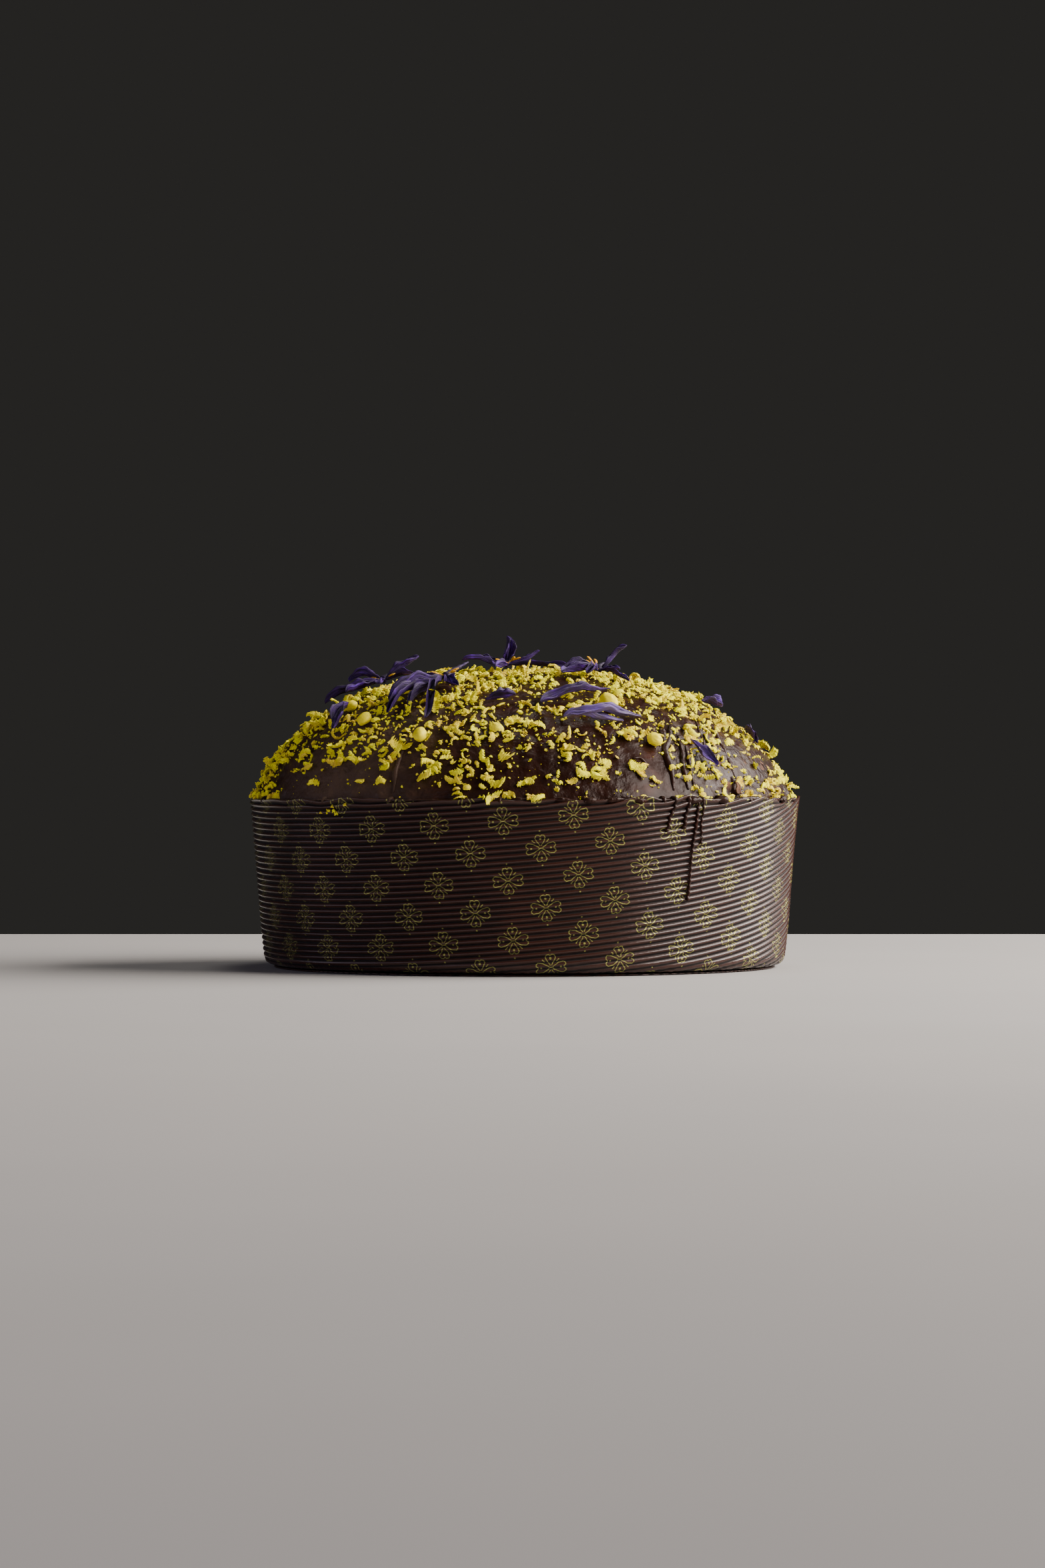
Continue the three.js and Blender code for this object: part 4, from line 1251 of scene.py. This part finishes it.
def set_dark_chocolate(look):
    """Tempered dark chocolate, poured and set: near black, with a broad satin sheen where it lies
    thick and smooth, and a dull, warm, granular skin where it is thin."""
    material, tree, shader = new_material("set_dark_chocolate")
    dull = attribute(tree, "dull")
    smooth = attribute(tree, "smooth")
    chocolate = np.array(look.chocolate)
    colour = ramp(tree, noise(tree, 11, 4), (0.3, chocolate * 0.7), (0.6, chocolate),
                  (0.8, chocolate * [1.5, 1.35, 1.2]))
    rough = map_range(tree, noise(tree, 5, 3), 0.3, 0.7, 0.27, 0.46)
    rough = math_node(tree, "MULTIPLY_ADD", dull, 0.25, rough)
    rough = math_node(tree, "SUBTRACT", rough, math_node(tree, "MULTIPLY", smooth, 0.1), clamp=True)
    uneven = math_node(tree, "SUBTRACT", 1.0, smooth, clamp=True)
    streaks = math_node(tree, "MULTIPLY", noise(tree, 2.6, 2.5), uneven)
    place = add_node(tree, "TexCoord").outputs["Object"]
    grains = add_node(tree, "TexVoronoi", {"Vector": place, "Scale": 1 / (1.3 * MM)}).outputs["Distance"]
    height = math_node(tree, "MULTIPLY", grains, math_node(tree, "MULTIPLY_ADD", dull, 1.2, 0.08))
    set_inputs(tree, shader, {
        "Base Color": mix(tree, dull, colour, "#554337"), "Roughness": rough, "Specular IOR Level": 0.15,
        "Specular Tint": (1.0, 0.94, 0.9, 1.0),
        "Normal": bump(tree, 0.5, 0.4, height, Normal=bump(tree, 0.8, 0.8, streaks))})
    return material


def baked_crust():
    """Baked dough: a dry matte skin, golden to chestnut brown, with fine pores and wrinkles."""
    material, tree, shader = new_material("baked_crust")
    colour = ramp(tree, noise(tree, 6, 5), (0.3, "#24150d"), (0.5, "#46291a"), (0.7, "#6b482e"))
    set_inputs(tree, shader, {"Base Color": colour, "Roughness": 0.85,
                              "Normal": bump(tree, 0.6, 0.5, noise(tree, 0.9, 5))})
    return material


def shaved_yellow_chocolate(look, smooth=False):
    """Coloured white chocolate, shaved with a blade: a waxy matte yellow that lets a little light
    in, paler on thin edges and deeper where it is thick, each shaving a little different. The
    drops are smoother, a little glossier and a little deeper."""
    material, tree, shader = new_material("moulded_yellow_chocolate" if smooth else "shaved_yellow_chocolate")
    yellow = np.array(look.yellow)
    deep = yellow * ([0.95, 0.86, 0.45] if smooth else [0.9, 0.81, 1.5])
    pale = np.minimum(yellow * ([1.0, 0.97, 0.5] if smooth else [1.05, 1.09, 0.4]), 1)
    mottle = math_node(tree, "MULTIPLY_ADD", attribute(tree, "tint"), 0.45,
                       math_node(tree, "MULTIPLY", noise(tree, 1.8, 3), 0.55))
    set_inputs(tree, shader, {
        "Base Color": ramp(tree, mottle, (0.2, deep), (0.5, yellow), (0.8, pale)),
        "Normal": bump(tree, 0.2 if smooth else 0.7, 0.4, noise(tree, 0.6, 3, 0.65)),
        "Roughness": 0.42 if smooth else 0.7, "Specular IOR Level": 0.2 if smooth else 0.08,
        "Subsurface Weight": 0.05, "Subsurface Radius": (1.0, 0.7, 0.15), "Subsurface Scale": 0.001})
    return material


def dried_violet_petal(look):
    """Dried crocus tepal: thin, papery and creased, violet with darker veins, nearly black at the throat,
    with a faint dry sheen. One noise sets both the creases' bump and the tone: the darker veins in the
    troughs are painted shade and the lilac on the crests is a painted highlight, with random tone
    besides. The loose tepals at the right are painted a paler, greyer lilac: partly a faded colour,
    partly painted light from the window."""
    material, tree, shader = new_material("dried_violet_petal")
    violet = np.array(look.violet)
    along, vein, shade = (attribute(tree, name) for name in ("along", "vein", "shade"))
    place = add_node(tree, "CombineXYZ", {
        axis: math_node(tree, "MULTIPLY", value, stretch)
        for axis, value, stretch in (("X", along, 1.6), ("Y", vein, 9.0), ("Z", shade, 7.0))}).outputs[0]
    # The vein noise drives both the bump and the tone: darker troughs are painted shade, lilac crests a
    # painted highlight.
    veins_with_painted_light = add_node(tree, "TexNoise", {"Vector": place, "Scale": 1.6, "Detail": 3.0}).outputs["Fac"]
    tone = math_node(tree, "MULTIPLY_ADD", veins_with_painted_light, 0.5, math_node(tree, "MULTIPLY", noise(tree, 5, 3), 0.5))
    # A higher shade value lifts the tone: random tone on the flowers, painted light on the loose tepals at
    # the right.
    tone = math_node(tree, "ADD", tone, math_node(tree, "MULTIPLY_ADD", shade, 0.16, -0.11))
    # The two lightest stops are the painted highlight on the crests.
    colour = ramp(tree, tone, (0.32, violet * 0.5), (0.48, violet), (0.59, violet * [1.6, 1.4, 1.75]),
                  (0.68, (0.5, 0.36, 0.9)))
    # Greyer, paler lilac where shade is high, only on the loose tepals at the right: faded colour and painted
    # light.
    colour = mix(tree, map_range(tree, shade, 0.6, 0.9, 0.0, 0.6), colour, "#857a98")
    colour = mix(tree, map_range(tree, along, 0.0, 0.35, 0.75, 0.0), colour, "#1a1026")
    set_inputs(tree, shader, {"Base Color": colour, "Normal": bump(tree, 0.9, 0.4, veins_with_painted_light), "Roughness": 0.55,
                              "Specular IOR Level": 0.25, "Sheen Weight": 0.04})
    return material


def dried_stamen():
    """Dried crocus stamen: a saffron orange thread, paler on the pollen of the anther."""
    material, tree, shader = new_material("dried_stamen")
    colour = ramp(tree, noise(tree, 1.2, 3), (0.35, "#dc9a00"), (0.55, "#f0b400"), (0.7, "#ffd21e"))
    set_inputs(tree, shader, {"Base Color": colour, "Roughness": 0.65,
                              "Normal": bump(tree, 0.4, 0.2, noise(tree, 0.4, 2))})
    return material


def painted_tabletop(look):
    """A matt painted board: plain, pale and even, with the faintest clouding."""
    material, tree, shader = new_material("painted_tabletop")
    floor = np.array(look.floor)
    colour = ramp(tree, noise(tree, 160, 2), (0.3, floor * 0.985), (0.7, floor))
    set_inputs(tree, shader, {"Base Color": colour, "Roughness": 0.8})
    return material


# ---- stage ----

FLOOR_CORNERS = ((-1600, -2200, 0), (1600, -2200, 0), (1600, 400, 0), (-1600, 400, 0))  # mm
LIGHT_TARGET = (0, 0, 0.07)
# Name, place and size in m, power in W, and colour. The large one is the window at the right.
LIGHTS = (
    ("right_window", (1.22, -0.02, 0.76), (2.0, 1.0), 86, "#fff5ee"),
    ("top_softbox", (0.1, 0.2, 1.3), (0.35, 0.35), 3, "#fffaf2"),
    ("left_fill", (-1.5, -0.35, 0.35), (1.9, 0.7), 4.4, "#e8e0ff"),
    ("front_fill", (-0.8, -1.7, 0.45), (1.2, 0.8), 2.6, "#e8e0ff"),
)


def link_object(name, data, place):
    """A scene object that holds a light or a camera, at a place."""
    thing = bpy.data.objects.new(name, data)
    thing.location = place
    bpy.context.scene.collection.objects.link(thing)
    return thing


def add_light(name, place, size, power, colour):
    """An area light that faces the loaf: tilted from straight down, then turned about Z."""
    light = bpy.data.lights.new(name, "AREA")
    light.shape = "RECTANGLE"
    light.size, light.size_y = size
    light.energy = power
    light.color = linear(colour)[:3]
    x, y, z = np.array(LIGHT_TARGET) - place
    tilt = math.acos(-z / math.hypot(x, y, z))
    link_object(name, light, place).rotation_euler = (tilt, 0, math.atan2(y, x) - math.pi / 2)


def build_stage(look):
    """A pale floor, a large soft light from the right, weak fills, and the level camera."""
    floor = (np.array(FLOOR_CORNERS, float), [np.arange(4)[None]])
    add_piece("floor", [floor], painted_tabletop(look), body="")
    world = bpy.data.worlds.new("studio")
    world.use_nodes = True
    world.node_tree.nodes["Background"].inputs["Color"].default_value = linear(look.backdrop)
    bpy.context.scene.world = world
    for light in LIGHTS:
        add_light(*light)

    camera = bpy.data.cameras.new("camera")
    camera.sensor_width = 36
    camera.lens = look.lens_mm
    view = link_object("camera", camera, (look.camera_side, -look.camera_distance, look.camera_height))
    view.rotation_euler = (math.pi / 2, 0, 0)
    bpy.context.scene.camera = view


# ---- operators, panel and registration ----

class PANETTONE_OT_case_wall(bpy.types.Operator):
    """Build the corrugated wall of the paper case"""
    bl_idname = "panettone.case_wall"
    bl_label = "Case Wall"

    def execute(self, context):
        build_case_wall(context.scene.panettone_case)
        return {"FINISHED"}


class PANETTONE_OT_case_base(bpy.types.Operator):
    """Build the paper disc under the loaf"""
    bl_idname = "panettone.case_base"
    bl_label = "Case Base"

    def execute(self, context):
        build_case_base(context.scene.panettone_case)
        return {"FINISHED"}


class PANETTONE_OT_loaf(bpy.types.Operator):
    """Build the baked loaf"""
    bl_idname = "panettone.loaf"
    bl_label = "Loaf"

    def execute(self, context):
        build_loaf(context.scene.panettone_glaze, context.scene.panettone_case)
        return {"FINISHED"}


class PANETTONE_OT_glaze(bpy.types.Operator):
    """Build the chocolate glaze with its streams and drips"""
    bl_idname = "panettone.glaze"
    bl_label = "Glaze"

    def execute(self, context):
        build_glaze(context.scene.panettone_glaze, context.scene.panettone_case)
        return {"FINISHED"}


class PANETTONE_OT_shavings(bpy.types.Operator):
    """Scatter the yellow chocolate shavings"""
    bl_idname = "panettone.shavings"
    bl_label = "Shavings"

    def execute(self, context):
        build_shavings(context.scene.panettone_toppings, context.scene.panettone_glaze)
        return {"FINISHED"}


class PANETTONE_OT_crumbs(bpy.types.Operator):
    """Scatter the crumbs and specks"""
    bl_idname = "panettone.crumbs"
    bl_label = "Crumbs"

    def execute(self, context):
        build_crumbs(context.scene.panettone_toppings, context.scene.panettone_glaze)
        return {"FINISHED"}


class PANETTONE_OT_drops(bpy.types.Operator):
    """Build the smooth chocolate drops"""
    bl_idname = "panettone.drops"
    bl_label = "Drops"

    def execute(self, context):
        build_drops(context.scene.panettone_toppings, context.scene.panettone_glaze)
        return {"FINISHED"}


class PANETTONE_OT_flowers(bpy.types.Operator):
    """Build the dried crocus flowers"""
    bl_idname = "panettone.flowers"
    bl_label = "Flowers"

    def execute(self, context):
        build_flowers(context.scene.panettone_toppings, context.scene.panettone_glaze)
        return {"FINISHED"}


class PANETTONE_OT_loose_tepals(bpy.types.Operator):
    """Build the loose tepals"""
    bl_idname = "panettone.loose_tepals"
    bl_label = "Loose Tepals"

    def execute(self, context):
        build_loose_tepals(context.scene.panettone_toppings, context.scene.panettone_glaze)
        return {"FINISHED"}


class PANETTONE_OT_stage(bpy.types.Operator):
    """Set up the floor, the lights and the camera"""
    bl_idname = "panettone.stage"
    bl_label = "Stage"

    def execute(self, context):
        build_stage(context.scene.panettone_stage)
        return {"FINISHED"}


OPERATORS = (PANETTONE_OT_stage, PANETTONE_OT_case_wall, PANETTONE_OT_case_base, PANETTONE_OT_loaf,
             PANETTONE_OT_glaze, PANETTONE_OT_shavings, PANETTONE_OT_crumbs, PANETTONE_OT_drops,
             PANETTONE_OT_flowers, PANETTONE_OT_loose_tepals)
GROUPS = {"panettone_case": CaseLook, "panettone_glaze": GlazeLook, "panettone_toppings": ToppingLook,
          "panettone_stage": StageLook}


class PANETTONE_PT_sidebar(bpy.types.Panel):
    """Lists the pieces and the stage"""
    bl_label = "Panettone"
    bl_idname = "PANETTONE_PT_sidebar"
    bl_space_type = "VIEW_3D"
    bl_region_type = "UI"
    bl_category = "Panettone"

    def draw(self, context):
        for operator in OPERATORS:
            self.layout.operator(operator.bl_idname)
        for key, group in GROUPS.items():
            section = self.layout.box()
            for name in group.__annotations__:
                section.prop(getattr(context.scene, key), name)


def register():
    for cls in (*GROUPS.values(), *OPERATORS, PANETTONE_PT_sidebar):
        bpy.utils.register_class(cls)
    for key, group in GROUPS.items():
        setattr(bpy.types.Scene, key, bpy.props.PointerProperty(type=group))


def unregister():
    for key in GROUPS:
        delattr(bpy.types.Scene, key)
    for cls in (PANETTONE_PT_sidebar, *reversed(OPERATORS), *GROUPS.values()):
        bpy.utils.unregister_class(cls)


def main():
    """Register the classes and build everything in order."""
    register()
    for operator in OPERATORS:
        category, name = operator.bl_idname.split(".")
        getattr(getattr(bpy.ops, category), name)()
    bpy.context.view_layer.update()


if __name__ == "__main__":
    main()
